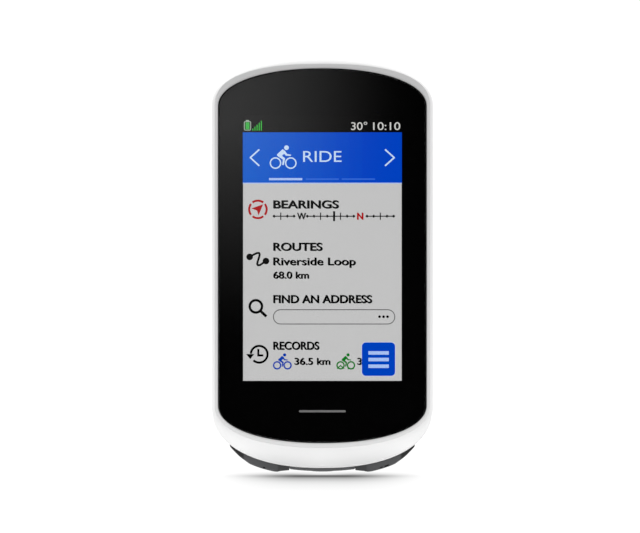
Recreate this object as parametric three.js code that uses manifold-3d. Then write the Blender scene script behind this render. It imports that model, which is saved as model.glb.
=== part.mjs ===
// A handlebar cycling computer, taken apart into its separate pieces. Units are millimetres.
// +Z is the top of the unit, the screen faces -Y, and the quarter-turn mount is on the back.
// The origin is the centre of the mount's outer flat face, so all depths below are negative.
import * as THREE from 'three';
import { mergeVertices } from 'three/addons/utils/BufferGeometryUtils.js';
import Module from 'manifold-3d';

const wasm = await Module();
wasm.setup();

// ---------------------------------------------------------------- driving dimensions
// Front-view outlines: straight sides between a rounded top cap and a rounded bottom cap.
const FRONT = {
  half: 28.4, top: 52.9, bottom: -52.4, topCap: 11.85, bottomCap: 15.26, power: 2.2, bottomPower: 2.3,
};
const REAR = {
  half: 28.1, top: 52.7, bottom: -53.15, topCap: 11.8, bottomCap: 15.8, power: 2.2, bottomPower: 2.3,
};
const LENS = {
  half: 26.62, top: 50.37, bottom: -45.36, topCap: 9.72, bottomCap: 9.72, power: 2.08, bottomPower: 2.08,
};

// Depths along Y, from the lens face to the mount's face at 0.
const LENS_FACE = -18.2;
const LENS_BACK = -17.3;
const MASK_FRONT = -17.25;
const MASK_BACK = -17.12;
const RIM_FACE = -18.0;
const LEDGE_FRONT = -17.1;
const LEDGE_BACK = -16.3;
const PARTING = -10.5;
const REAR_EDGE = -10.3;
const BACK_WALL_INSIDE = -5.0;
const BACK = -3.5;
const MOUNT_FACE = 0;

// How far the rim and chin of the front housing reach towards the lens, as a share of that distance.
const RIM_REACH = { side: 0.449, top: 0.435, bottom: 0.801 };
const RIM_ROUND = 2.5;
const CHIN_LIP = 0.4;

const REAR_ROUND = 5;
const REAR_WALL = 2;
const BOTTOM_WALL = 3.55;

// The display's lit area and the glass around it.
const SCREEN = { width: 40.8, height: 68, z: 4.37 };
const PANEL = { width: 44.5, height: 72.5 };

const BOARD_FRONT = -10.2;
const BOARD_BACK = -9.4;
const FRAME_FRONT = -14.1;
const FRAME_BACK = -13.1;

// Keys.
const KEY_TRAVEL = 0.4;
const BOTTOM_KEY_X = 16.3;
const BOTTOM_KEY_Y = -8.1;
const BOTTOM_KEY_STEM = 1;
const KEY_PROUD = 1.45;
const KEY_INSIDE = 0.8;
const KEY_POCKET = 1.3;
const KEY_POCKET_X = [8.7, 23.6];
const KEY_SEAL = { from: -47.95, to: -47.2, radius: 1.7 };
const POWER_KEY = { y: -12.5, z: 28.15, length: 8.9, width: 3, stem: 0.9, stemY: -12 };
const SWITCH_GAP = KEY_TRAVEL + 0.05;
const STEM_BOTTOM = -50.6;
const STEM_TOP = -46.2;
const SWITCH_BOTTOM = -45.2;

// Charging port and its weather cap.
const PORT_Y = -7.72;
const PORT_MOUTH = -51.5;
const PLUG = { width: 7.6, height: 1.9, wall: 0.55, from: -52.5, to: -50.55 };
const CAP_HALF = 7.9;
const CAP_THICK = 1;
const CAP_PROUD = 0.15;
const CAP_POCKET = 1.35;
const CAP_FRONT = -10.15;
const CAP_BACK = -5.2;

// Quarter-turn mount.
const HUB_RADIUS = 12.5;
const TAB_RADIUS = 15.5;
const TAB_THICK = 1.6;
const TAB_ANGLE = Math.PI / 3;
const MOUNT_SCREWS = [[9, 3.3], [-9, 3.3], [-9, -3.3], [9, -3.3]];
const CONTACT_Z = 6.2;
const CONTACT_PITCH = 2.6;
const CONTACT_COUNT = 5;

// Screws that hold the housings together and the board to its frame.
const CASE_SCREWS = [[24.6, 38], [24.6, -2], [24, -36], [-24, -36], [-24.6, -2], [-24.6, 38]];
const BOARD_SCREWS = [[18.5, 39], [-18.5, 39], [-17, -40.3], [17, -40.3]];

// Tether recess in the back.
const TETHER = { z: -37.5, width: 11, height: 7, floor: -6.6, bar: 1.8, barFront: -5.1, barBack: -3.6 };

// ---------------------------------------------------------------- shape helpers
function mix(a, b, share) {
  return a + (b - a) * share;
}

// An outline moved inwards by its own distance at the sides, the top and the bottom.
function inset(outline, side, top = side, bottom = side) {
  return {
    half: outline.half - side,
    top: outline.top - top,
    bottom: outline.bottom + bottom,
    topCap: outline.topCap - top,
    bottomCap: outline.bottomCap - bottom,
    power: outline.power,
    bottomPower: outline.bottomPower,
  };
}

// An outline part of the way from one outline to another.
function between(a, b, side, top, bottom) {
  return {
    half: mix(a.half, b.half, side),
    top: mix(a.top, b.top, top),
    bottom: mix(a.bottom, b.bottom, bottom),
    topCap: mix(a.topCap, b.topCap, top),
    bottomCap: mix(a.bottomCap, b.bottomCap, bottom),
    power: mix(a.power, b.power, top),
    bottomPower: mix(a.bottomPower, b.bottomPower, bottom),
  };
}

// The points of an outline, anticlockwise as the screen is looked at.
function outlinePoints(outline, steps = 7) {
  const points = [];
  const corner = (angle, power, rise, centre) => {
    const x = outline.half * Math.sign(Math.cos(angle)) * Math.abs(Math.cos(angle)) ** (2 / power);
    points.push([x, centre + rise * Math.abs(Math.sin(angle)) ** (2 / power)]);
  };
  for (let i = 0; i <= 2 * steps; i += 1) {
    corner((i / (2 * steps)) * Math.PI, outline.power, outline.topCap, outline.top - outline.topCap);
  }
  const lowCentre = outline.bottom + outline.bottomCap;
  for (let i = 0; i <= 2 * steps; i += 1) {
    corner((1 + i / (2 * steps)) * Math.PI, outline.bottomPower, -outline.bottomCap, lowCentre);
  }
  return points;
}

// A closed geometry as a solid that can be joined and cut.
function solid(geometry) {
  const bare = geometry.clone();
  bare.deleteAttribute('normal');
  bare.deleteAttribute('uv');
  const merged = mergeVertices(bare, 1e-4);
  const vertProperties = new Float32Array(merged.attributes.position.array);
  const triVerts = new Uint32Array(merged.index.array);
  return new wasm.Manifold(new wasm.Mesh({ numProp: 3, vertProperties, triVerts }));
}

// A solid through a row of outlines, each at its own depth, with flat ends.
function loft(stations) {
  const positions = [];
  const indices = [];
  const rings = stations.map(([y, outline]) => outlinePoints(outline).map(([x, z]) => [x, y, z]));
  const count = rings[0].length;
  rings.flat().forEach((point) => positions.push(...point));
  for (let ring = 0; ring < rings.length - 1; ring += 1) {
    for (let i = 0; i < count; i += 1) {
      const near = ring * count + i;
      const nearNext = ring * count + ((i + 1) % count);
      indices.push(near, near + count, nearNext);
      indices.push(nearNext, near + count, nearNext + count);
    }
  }
  const last = (rings.length - 1) * count;
  const middle = positions.length / 3;
  positions.push(0, stations[0][0], 0, 0, stations[stations.length - 1][0], 0);
  for (let i = 0; i < count; i += 1) {
    const next = (i + 1) % count;
    indices.push(middle, i, next);
    indices.push(middle + 1, last + next, last + i);
  }
  const geometry = new THREE.BufferGeometry();
  geometry.setAttribute('position', new THREE.Float32BufferAttribute(positions, 3));
  geometry.setIndex(indices);
  return solid(geometry);
}

// A flat sheet with a given outline between two depths.
function sheet(outline, front, back) {
  return loft([[front, outline], [back, outline]]);
}

// A plate cut to a shape drawn in the front view, between two depths.
function plate(shape, front, back) {
  const geometry = new THREE.ExtrudeGeometry(shape, {
    depth: back - front, bevelEnabled: false, curveSegments: 2,
  });
  geometry.rotateX(Math.PI / 2);
  geometry.translate(0, back, 0);
  return solid(geometry);
}

function box(x0, x1, y0, y1, z0, z1) {
  const geometry = new THREE.BoxGeometry(x1 - x0, y1 - y0, z1 - z0);
  geometry.translate((x0 + x1) / 2, (y0 + y1) / 2, (z0 + z1) / 2);
  return solid(geometry);
}

// A round rod along an axis; centre gives its place on the two other axes.
function rod(axis, radius, from, to, centre, sides = 16) {
  const geometry = new THREE.CylinderGeometry(radius, radius, to - from, sides);
  const middle = (from + to) / 2;
  if (axis === 'x') {
    geometry.rotateZ(-Math.PI / 2);
    geometry.translate(middle, centre[0], centre[1]);
  } else if (axis === 'y') {
    geometry.translate(centre[0], middle, centre[1]);
  } else {
    geometry.rotateX(Math.PI / 2);
    geometry.translate(centre[0], centre[1], middle);
  }
  return solid(geometry);
}

function tube(axis, outer, inner, from, to, centre, sides = 16) {
  const bore = rod(axis, inner, from - 1, to + 1, centre, sides);
  return rod(axis, outer, from, to, centre, sides).subtract(bore);
}

function polygon(points) {
  return new THREE.Shape(points.map(([x, z]) => new THREE.Vector2(x, z)));
}

function roundedRectangle(width, height, radius, x = 0, z = 0) {
  const shape = new THREE.Shape();
  const right = width / 2 - radius;
  const up = height / 2 - radius;
  shape.absarc(x + right, z + up, radius, 0, Math.PI / 2);
  shape.absarc(x - right, z + up, radius, Math.PI / 2, Math.PI);
  shape.absarc(x - right, z - up, radius, Math.PI, 1.5 * Math.PI);
  shape.absarc(x + right, z - up, radius, 1.5 * Math.PI, 2 * Math.PI);
  shape.closePath();
  return shape;
}

// A bar with round ends, long along X and running in Z, or long along Z and running in X.
function roundEndedBar(axis, length, width, from, to, centre) {
  const shape = roundedRectangle(length, width, width / 2 - 0.001);
  const geometry = new THREE.ExtrudeGeometry(shape, {
    depth: to - from, bevelEnabled: false, curveSegments: 3,
  });
  if (axis === 'x') {
    geometry.rotateY(Math.PI / 2);
    geometry.translate(from, centre[0], centre[1]);
  } else {
    geometry.translate(centre[0], centre[1], from);
  }
  return solid(geometry);
}

// A thin bent strip: its path is drawn in the side view, and it is as wide as it is told along X.
function strip(path, thickness, width, x = 0) {
  const parts = path.slice(1).map(([y1, z1], index) => {
    const [y0, z0] = path[index];
    const half = thickness / 2;
    return box(
      x - width / 2, x + width / 2,
      Math.min(y0, y1) - half, Math.max(y0, y1) + half,
      Math.min(z0, z1) - half, Math.max(z0, z1) + half,
    );
  });
  return parts.reduce((whole, part) => whole.add(part));
}

function geometryOf(body) {
  const mesh = body.getMesh();
  const geometry = new THREE.BufferGeometry();
  geometry.setAttribute('position', new THREE.Float32BufferAttribute(mesh.vertProperties, 3));
  geometry.setIndex(new THREE.BufferAttribute(mesh.triVerts, 1));
  geometry.computeVertexNormals();
  return geometry;
}

function piece(name, finish, body, place = [0, 0, 0]) {
  const material = new THREE.MeshStandardMaterial({
    color: finish[0], roughness: finish[1], metalness: finish[2],
  });
  const mesh = new THREE.Mesh(geometryOf(body), material);
  mesh.name = name;
  mesh.position.set(...place);
  return mesh;
}

const WHITE_PLASTIC = [0xeeeeec, 0.4, 0];
const DARK_PLASTIC = [0x3a3b3d, 0.6, 0];
const DARK_RUBBER = [0x4a4b4d, 0.8, 0];
const SEAL_RUBBER = [0x1b1b1c, 0.85, 0];
const BLACK_GLASS = [0x08080a, 0.1, 0];
const INK = [0x050505, 0.5, 0];
const SCREEN_GREY = [0xbfbfbf, 0.3, 0];
const STEEL = [0x9a9ca0, 0.35, 1];
const GOLD = [0xd4a94a, 0.3, 1];
const ALUMINIUM = [0xb4b6ba, 0.45, 1];
const BOARD_GREEN = [0x1f4a35, 0.6, 0];
const CERAMIC = [0xcbbfae, 0.6, 0];
const FOIL = [0x7d8288, 0.5, 0.4];
const POLYIMIDE = [0x8a5a1e, 0.5, 0];

// ---------------------------------------------------------------- housings
// Outer skin of the front housing: flat rim, rounded sides, and a chin that slopes back and down.
function frontSkin() {
  const chinSlope = (y) => {
    const reach = (PARTING - CHIN_LIP - y) / (PARTING - CHIN_LIP - RIM_FACE);
    const lip = CHIN_LIP / (FRONT.bottom - LENS.bottom) * -1;
    return Math.max(0, mix(lip, RIM_REACH.bottom, reach));
  };
  const stations = [0, 30, 60, 90].map((degrees) => {
    const angle = THREE.MathUtils.degToRad(degrees);
    const y = RIM_FACE + RIM_ROUND * (1 - Math.cos(angle));
    const left = 1 - Math.sin(angle);
    return [y, between(FRONT, LENS, RIM_REACH.side * left, RIM_REACH.top * left, chinSlope(y))];
  });
  stations.push([PARTING - CHIN_LIP, between(FRONT, LENS, 0, 0, chinSlope(PARTING - CHIN_LIP))]);
  stations.push([PARTING, FRONT]);
  return loft(stations);
}

function frontHousing() {
  const lensPocket = sheet(inset(LENS, -0.12), LENS_FACE - 1, LEDGE_FRONT);
  const window = sheet(inset(LENS, 2), LENS_FACE - 1, PARTING);
  const cavity = loft([
    [LEDGE_BACK, inset(FRONT, 2, 1.9, 5.7)],
    [-12.2, inset(FRONT, 2, 1.9, 2.35)],
    [PARTING + 1, inset(FRONT, 2, 1.9, 2.35)],
  ]);
  let body = frontSkin().subtract(lensPocket).subtract(window).subtract(cavity);
  for (const [x, z] of CASE_SCREWS) {
    body = body.add(rod('y', 1.9, LEDGE_BACK - 0.3, PARTING - 0.1, [x, z]));
    body = body.subtract(rod('y', 1.05, -14.3, PARTING + 1, [x, z], 10));
  }
  const { y, z, length, width, stem, stemY } = POWER_KEY;
  const pocketFloor = -FRONT.half + 1;
  const cavitySide = -FRONT.half + 2;
  return body
    .subtract(roundEndedBar('x', length + 0.6, width + 0.6, pocketFloor - 3, pocketFloor, [y, z]))
    .subtract(rod('x', stem + 0.25, pocketFloor - 1, cavitySide + 1, [stemY, z]))
    .subtract(rod('x', 1.4, cavitySide - 0.5, cavitySide + 0.2, [stemY, z]));
}

// The rear housing's outer surface, moved inwards by a distance: straight walls, then a quarter round.
function rearSkin(distance = 0, front = REAR_EDGE, back = BACK) {
  const start = BACK - REAR_ROUND;
  const stations = [[front, inset(REAR, distance)]];
  for (const degrees of [0, 30, 60, 90]) {
    const angle = THREE.MathUtils.degToRad(degrees);
    const turned = REAR_ROUND * (1 - Math.cos(angle));
    stations.push([start + REAR_ROUND * Math.sin(angle), inset(REAR, distance + turned)]);
  }
  if (back > BACK) {
    stations.push([back, inset(REAR, distance + REAR_ROUND)]);
  }
  return loft(stations);
}

function rearCavity() {
  const round = REAR_ROUND - 1.5;
  const stations = [[REAR_EDGE - 1, inset(REAR, REAR_WALL, REAR_WALL, BOTTOM_WALL)]];
  for (const degrees of [0, 45, 90]) {
    const angle = THREE.MathUtils.degToRad(degrees);
    const turned = round * (1 - Math.cos(angle));
    const outline = inset(REAR, REAR_WALL + turned, REAR_WALL + turned, BOTTOM_WALL + turned);
    stations.push([BACK_WALL_INSIDE - round * (1 - Math.sin(angle)), outline]);
  }
  return loft(stations);
}

// The ring on the rear housing that slides inside the front housing and lines the two up.
function locatingTongue() {
  const outer = sheet(inset(REAR, 1.9, 1.9, 3.3), -12, -9);
  const inner = sheet(inset(REAR, 2.9, 2.9, 4.1), -13, -8);
  let ring = outer.subtract(inner);
  for (const [x, z] of CASE_SCREWS) {
    ring = ring.subtract(rod('y', 2.3, -13, REAR_EDGE, [x, z]));
  }
  const { z } = POWER_KEY;
  return ring.subtract(box(-29, -24.5, -13, REAR_EDGE, z - 1.8, z + 1.8));
}

// The front view of a bottom key's block, with its sloped ends, drawn for the right-hand key.
const KEY_OUTLINE = [
  [9, -43], [9, -53], [11.6, -53.25], [12.3, -54.9], [18.6, -54.9],
  [19.3, -51.2], [21.6, -49.45], [23.3, -47.45], [23.3, -43],
];

function mirrored(points, side) {
  const turned = points.map(([x, z]) => [x * side, z]);
  return side > 0 ? turned : turned.reverse();
}

function keyPocket(side) {
  const block = box(...KEY_POCKET_X, REAR_EDGE - 1, CAP_BACK + 0.4, -56, -40);
  const mirroredBlock = side > 0 ? block : block.mirror([1, 0, 0]);
  return mirroredBlock.subtract(rearSkin(KEY_POCKET, REAR_EDGE - 2, BACK + 1));
}

function capPocket() {
  const block = box(-CAP_HALF - 0.3, CAP_HALF + 0.3, REAR_EDGE - 1, CAP_BACK + 0.45, -56, -40);
  return block.subtract(rearSkin(CAP_POCKET, REAR_EDGE - 2, BACK + 1));
}

// A shallow pocket behind the cap, where its strap is glued down.
function anchorPocket() {
  const block = box(-4.2, 4.2, CAP_BACK + 0.4, -3.85, -56, -40);
  return block.subtract(rearSkin(1, REAR_EDGE - 2, BACK + 1));
}

function sealGroove() {
  const outer = sheet(inset(REAR, 1, 1, 1.75), REAR_EDGE - 1, -9.75);
  const inner = sheet(inset(REAR, 1.6, 1.6, 2.45), REAR_EDGE - 2, -9);
  return outer.subtract(inner);
}

function tetherRecess() {
  const { z, width, height, floor, bar, barFront, barBack } = TETHER;
  const hollow = box(-width / 2, width / 2, floor, BACK + 1, z - height / 2, z + height / 2);
  return hollow.subtract(box(-width, width, barFront, barBack, z - bar / 2, z + bar / 2));
}

function rearHousing() {
  let hollow = rearCavity();
  for (const [x, z] of CASE_SCREWS) {
    hollow = hollow.subtract(rod('y', 2.2, REAR_EDGE, BACK, [x, z]));
    hollow = hollow.subtract(rod('y', 2.9, -7.9, BACK, [x, z]));
  }
  hollow = hollow.subtract(rod('y', 13.5, -5.7, BACK, [0, 0], 32));
  const { z, width, height, floor } = TETHER;
  const around = 1;
  hollow = hollow.subtract(box(
    -width / 2 - around, width / 2 + around, floor - around, BACK,
    z - height / 2 - around, z + height / 2 + around,
  ));
  let body = rearSkin().subtract(hollow).add(locatingTongue()).subtract(sealGroove());
  body = body.subtract(tetherRecess()).subtract(capPocket()).subtract(anchorPocket());
  for (const side of [1, -1]) {
    body = body.subtract(keyPocket(side));
    const centre = [side * BOTTOM_KEY_X, BOTTOM_KEY_Y];
    body = body.subtract(rod('z', BOTTOM_KEY_STEM + 0.2, -52, -44, centre));
    body = body.subtract(rod('z', KEY_SEAL.radius + 0.1, KEY_SEAL.from - 0.05, -44, centre));
  }
  body = body.subtract(roundEndedBar('z', 9.4, 3.7, -53, -46.3, [0, PORT_Y]));
  for (const [x, zScrew] of CASE_SCREWS) {
    body = body.subtract(rod('y', 1, REAR_EDGE - 3, BACK, [x, zScrew], 10));
    body = body.subtract(rod('y', 2.1, -7.15, BACK + 1, [x, zScrew]));
  }
  for (const [x, zScrew] of MOUNT_SCREWS) {
    body = body.subtract(rod('y', 0.95, -5.45, BACK + 1, [x, zScrew], 10));
  }
  body = body.subtract(tube('y', 12, 10.8, -4.05, BACK + 1, [0, 0], 32));
  body = body.subtract(box(-7, 7, -7, BACK + 1, CONTACT_Z - 1.9, CONTACT_Z + 1.9));
  for (const x of [-2.4, 0, 2.4]) {
    body = body.subtract(rod('y', 0.5, -6, BACK + 1, [x, 41], 10));
  }
  return body.subtract(rod('y', 0.6, -6, BACK + 1, [13, 30], 10));
}

function housingSeal() {
  const outer = sheet(inset(REAR, 1.05, 1.05, 1.8), PARTING + 0.03, -9.8);
  const inner = sheet(inset(REAR, 1.55, 1.55, 2.4), PARTING - 1, -9);
  return outer.subtract(inner);
}

// ---------------------------------------------------------------- display stack
function coverLens() {
  const bevel = 0.15;
  return loft([
    [LENS_FACE, inset(LENS, bevel)],
    [LENS_FACE + bevel, LENS],
    [LENS_BACK, LENS],
  ]);
}

function lensMask() {
  const opening = roundedRectangle(SCREEN.width + 0.8, SCREEN.height + 0.6, 0.3, 0, SCREEN.z);
  const window = plate(opening, MASK_FRONT - 1, MASK_BACK + 1);
  return sheet(inset(LENS, 0.3), MASK_FRONT, MASK_BACK).subtract(window);
}

function screenPlate(width, height, front, back) {
  return plate(roundedRectangle(width, height, 0.6, 0, SCREEN.z), front, back);
}

function midFrame() {
  const outline = polygon([
    [18.5, -43.4], [21.8, -38], [21.8, 41.2], [-21.8, 41.2], [-21.8, -38], [-18.5, -43.4],
  ]);
  let body = plate(outline, FRAME_FRONT, FRAME_BACK);
  for (const [x, z] of BOARD_SCREWS) {
    body = body.add(rod('y', 1.7, FRAME_BACK - 0.5, BOARD_FRONT - 0.05, [x, z], 16));
    body = body.subtract(rod('y', 1, FRAME_FRONT + 0.2, BOARD_FRONT + 1, [x, z], 10));
  }
  for (const z of [-22, 2, 26]) {
    for (const x of [-11, 11]) {
      body = body.subtract(plate(roundedRectangle(14, 12, 2, x, z), FRAME_FRONT - 1, FRAME_BACK + 0.2));
    }
  }
  return body.subtract(plate(roundedRectangle(18, 2.2, 0.5, 0, -35), FRAME_FRONT - 1, FRAME_BACK + 0.2));
}

function displayFlex() {
  return strip([[-16.1, -32.2], [-16.1, -35], [-10.45, -35], [-10.45, -28]], 0.2, 15);
}

// ---------------------------------------------------------------- electronics
function mainBoard() {
  const right = [
    [0, -47.9], [8, -47.9], [8, -44.5], [18, -44.5], [21.1, -40], [21.6, -38],
    [21.6, 39], [20.6, 41.5], [14, 46.9], [0, 46.9],
  ];
  const left = right.slice(1, -1).reverse().map(([x, z]) => [-x, z]);
  let body = plate(polygon([...right, ...left]), BOARD_FRONT, BOARD_BACK);
  for (const [x, z] of BOARD_SCREWS) {
    body = body.subtract(rod('y', 0.95, BOARD_FRONT - 1, BOARD_BACK + 1, [x, z], 10));
  }
  return body;
}

// A thin-walled lid over a group of chips: drawn solid, with its stamped step around the edge.
function shieldCan(width, height, thickness) {
  const skirt = plate(roundedRectangle(width, height, 0.8), 0, thickness - 0.35);
  return skirt.add(plate(roundedRectangle(width - 1, height - 1, 0.8), 0, thickness));
}

function boardScrew() {
  return rod('y', 1.35, 0, 0.7, [0, 0], 12).add(rod('y', 0.75, -3.3, 0.3, [0, 0], 8));
}

function receptacle() {
  const body = roundEndedBar('z', 8.94, 3.2, 0, 7.3, [0, 0]);
  return body.subtract(roundEndedBar('z', 8.34, 2.56, -1, 6.9, [0, 0]));
}

function batteryLead() {
  return strip([[-7.6, 20.7], [-7.6, 23.4], [-9.2, 23.4], [-9.2, 27]], 0.2, 5, 12);
}

function satelliteAntenna() {
  const patch = box(-8.5, 8.5, -0.3, 0.1, -2.3, 2.3);
  return box(-10, 10, 0, 4.35, -2.75, 2.75).add(patch);
}

function beeper() {
  const sounder = box(-4.5, 4.5, 0, 1.9, -4.5, 4.5);
  return sounder.subtract(rod('y', 1, 1.3, 3, [0, 0], 12));
}

// ---------------------------------------------------------------- keys and their switches
function switchCase(width, height, depth) {
  return box(-width / 2, width / 2, -depth / 2, depth / 2, 0, height);
}

function bottomKey(side) {
  const block = plate(polygon(mirrored(KEY_OUTLINE, side)), CAP_FRONT, CAP_BACK);
  const inner = rearSkin(KEY_INSIDE, REAR_EDGE - 2, BACK + 1);
  const cap = rearSkin(-KEY_PROUD, REAR_EDGE - 1).intersect(block).subtract(inner);
  return cap.add(rod('z', BOTTOM_KEY_STEM, STEM_BOTTOM, STEM_TOP, [side * BOTTOM_KEY_X, BOTTOM_KEY_Y]));
}

function powerKey() {
  const { y, z, length, width, stem, stemY } = POWER_KEY;
  const face = -FRONT.half - 0.1;
  const cap = roundEndedBar('x', length, width, face, face + 0.6, [y, z]);
  return cap.add(rod('x', stem, face + 0.3, -23.9, [stemY, z]));
}

// ---------------------------------------------------------------- weather cap over the port
function weatherCap() {
  const block = box(-CAP_HALF, CAP_HALF, CAP_FRONT, CAP_BACK, -56, -45);
  const inner = rearSkin(CAP_THICK - CAP_PROUD, REAR_EDGE - 2, BACK + 1);
  const flap = rearSkin(-CAP_PROUD, REAR_EDGE - 1).intersect(block).subtract(inner);
  const { width, height, wall, from, to } = PLUG;
  const plug = roundEndedBar('z', width, height, from, to, [0, PORT_Y]);
  const hollow = roundEndedBar('z', width - 2 * wall, height - 2 * wall, from + 0.3, to + 1, [0, PORT_Y]);
  return flap.add(plug.subtract(hollow));
}

function capAnchor() {
  const block = box(-4, 4, CAP_BACK + 0.62, -4, -56, -45);
  const outer = rearSkin(0.15, REAR_EDGE - 1);
  return outer.intersect(block).subtract(rearSkin(0.9, REAR_EDGE - 2, BACK + 1));
}

// ---------------------------------------------------------------- quarter-turn mount
function quarterTurnInsert() {
  let body = rod('y', HUB_RADIUS, BACK + 0.05, MOUNT_FACE, [0, 0], 48);
  const tabs = new THREE.Shape();
  for (const middle of [0, Math.PI]) {
    const start = middle - TAB_ANGLE / 2;
    tabs.absarc(0, 0, TAB_RADIUS, start, start + TAB_ANGLE);
    tabs.absarc(0, 0, HUB_RADIUS - 1, start + TAB_ANGLE + 0.05, start + Math.PI - 0.05);
  }
  tabs.closePath();
  body = body.add(plate(tabs, MOUNT_FACE - TAB_THICK, MOUNT_FACE));
  for (const [x, z] of MOUNT_SCREWS) {
    body = body.subtract(rod('y', 0.95, BACK - 1, 1, [x, z], 10));
    body = body.subtract(rod('y', 1.8, -1.5, 1, [x, z], 16));
  }
  return body.subtract(box(-7, 7, BACK - 1, 1, CONTACT_Z - 1.9, CONTACT_Z + 1.9));
}

function contactX(index) {
  return (index - (CONTACT_COUNT - 1) / 2) * CONTACT_PITCH;
}

function contactBlock() {
  let body = box(-6.8, 6.8, -5.5, -0.5, CONTACT_Z - 1.7, CONTACT_Z + 1.7);
  for (let i = 0; i < CONTACT_COUNT; i += 1) {
    body = body.subtract(rod('y', 1, -1.6, 0, [contactX(i), CONTACT_Z], 16));
  }
  return body;
}

// A small screw pointing towards the front of the unit: its head sits at 0 and rises to headHeight.
function screw(headRadius, headHeight, shankRadius, length) {
  const head = rod('y', headRadius, 0, headHeight, [0, 0], 14);
  const drive = rod('y', headRadius * 0.45, headHeight * 0.45, headHeight + 1, [0, 0], 6);
  return head.subtract(drive).add(rod('y', shankRadius, -length, 0.1, [0, 0], 8));
}

// ---------------------------------------------------------------- the whole unit
const computer = new THREE.Group();
computer.add(piece('front_housing', WHITE_PLASTIC, frontHousing()));
computer.add(piece('rear_housing', DARK_PLASTIC, rearHousing()));
computer.add(piece('housing_seal', SEAL_RUBBER, housingSeal()));

const display = new THREE.Group();
display.add(piece('cover_lens', BLACK_GLASS, coverLens()));
display.add(piece('lens_mask', INK, lensMask()));
const touchSensor = screenPlate(PANEL.width + 1.5, PANEL.height + 1.1, -17.05, -16.68);
display.add(piece('touch_sensor', BLACK_GLASS, touchSensor));
display.add(piece('display_panel', SCREEN_GREY, screenPlate(PANEL.width, PANEL.height, -16.6, -15.6)));
display.add(piece('display_backlight', FOIL, screenPlate(PANEL.width, PANEL.height, -15.55, -14.2)));
display.add(piece('mid_frame', ALUMINIUM, midFrame()));
display.add(piece('display_flex', POLYIMIDE, displayFlex()));
computer.add(display);

const electronics = new THREE.Group();
electronics.add(piece('main_board', BOARD_GREEN, mainBoard()));
const frontCan = shieldCan(32, 42, 1.7).mirror([0, 1, 0]);
electronics.add(piece('shield_can_front', STEEL, frontCan, [0, BOARD_FRONT - 0.05, 4]));
electronics.add(piece('shield_can_rear', STEEL, shieldCan(20, 9.6, 1.6), [-9, BOARD_BACK + 0.05, 29]));
electronics.add(piece('satellite_antenna', CERAMIC, satelliteAntenna(), [0, BOARD_FRONT - 4.4, 44.1]));
electronics.add(piece('radio_antenna', POLYIMIDE, box(-9, 9, -8.8, -7.2, 49.3, 49.5)));
electronics.add(piece('beeper', INK, beeper(), [0, BOARD_BACK + 0.05, 41]));
electronics.add(piece('pressure_vent', WHITE_PLASTIC, rod('y', 2, -5.4, -5.05, [13, 30])));
electronics.add(piece('charging_receptacle', STEEL, receptacle(), [0, PORT_Y, PORT_MOUTH]));
const tongue = box(-3.3, 3.3, -0.35, 0.35, 1.3, 6.85);
electronics.add(piece('receptacle_tongue', SEAL_RUBBER, tongue, [0, PORT_Y, PORT_MOUTH]));
electronics.add(piece('battery_cell', FOIL, box(-20, 20, -9, -6.15, -31.5, 20.5)));
electronics.add(piece('battery_pad', SEAL_RUBBER, box(-12, 12, -6.1, -5.75, -9, 3)));
electronics.add(piece('battery_lead', POLYIMIDE, batteryLead()));
BOARD_SCREWS.forEach(([x, z], index) => {
  electronics.add(piece(`board_screw_${index + 1}`, STEEL, boardScrew(), [x, BOARD_BACK + 0.05, z]));
});
computer.add(electronics);

const bottomKeys = [['start', 1], ['lap', -1]];
for (const [name, side] of bottomKeys) {
  const x = side * BOTTOM_KEY_X;
  const keys = new THREE.Group();
  const plunger = box(-1, 1, -0.4, 0.4, STEM_TOP + 0.05, SWITCH_BOTTOM - SWITCH_GAP);
  const { radius, from, to } = KEY_SEAL;
  const seal = tube('z', radius, BOTTOM_KEY_STEM + 0.05, from, to, [x, BOTTOM_KEY_Y]);
  keys.add(piece(`${name}_button`, DARK_RUBBER, bottomKey(side)));
  keys.add(piece(`${name}_plunger`, SEAL_RUBBER, plunger, [x, -8.5, 0]));
  keys.add(piece(`${name}_switch`, INK, switchCase(4.7, 2.4, 1.65), [x, BOARD_BACK + 0.875, SWITCH_BOTTOM]));
  keys.add(piece(`${name}_key_seal`, SEAL_RUBBER, seal));
  computer.add(keys);
}

const powerKeys = new THREE.Group();
powerKeys.add(piece('power_button', WHITE_PLASTIC, powerKey()));
powerKeys.add(piece('power_plunger', SEAL_RUBBER, box(-23.8, -23.05, -12.35, -11.55, 27.2, 29.1)));
powerKeys.add(piece('power_switch', INK, box(-22.55, -20.2, -12.65, BOARD_FRONT - 0.05, 25.8, 30.5)));
const powerSeal = tube('x', 1.35, POWER_KEY.stem + 0.05, -26.85, -26.42, [POWER_KEY.stemY, POWER_KEY.z]);
powerKeys.add(piece('power_key_seal', SEAL_RUBBER, powerSeal));
computer.add(powerKeys);

computer.add(piece('weather_cap', DARK_RUBBER, weatherCap()));
computer.add(piece('cap_anchor', DARK_RUBBER, capAnchor()));

const mount = new THREE.Group();
mount.add(piece('quarter_turn_insert', DARK_PLASTIC, quarterTurnInsert()));
mount.add(piece('mount_gasket', SEAL_RUBBER, tube('y', 11.8, 11, -4, BACK, [0, 0], 32)));
mount.add(piece('contact_block', DARK_PLASTIC, contactBlock()));
for (let i = 0; i < CONTACT_COUNT; i += 1) {
  const pad = rod('y', 0.9, -1.5, -0.4, [0, 0], 16);
  mount.add(piece(`contact_pad_${i + 1}`, GOLD, pad, [contactX(i), 0, CONTACT_Z]));
}
MOUNT_SCREWS.forEach(([x, z], index) => {
  mount.add(piece(`mount_screw_${index + 1}`, STEEL, screw(1.65, 1, 0.8, 3.7), [x, -1.45, z]));
});
computer.add(mount);

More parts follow.
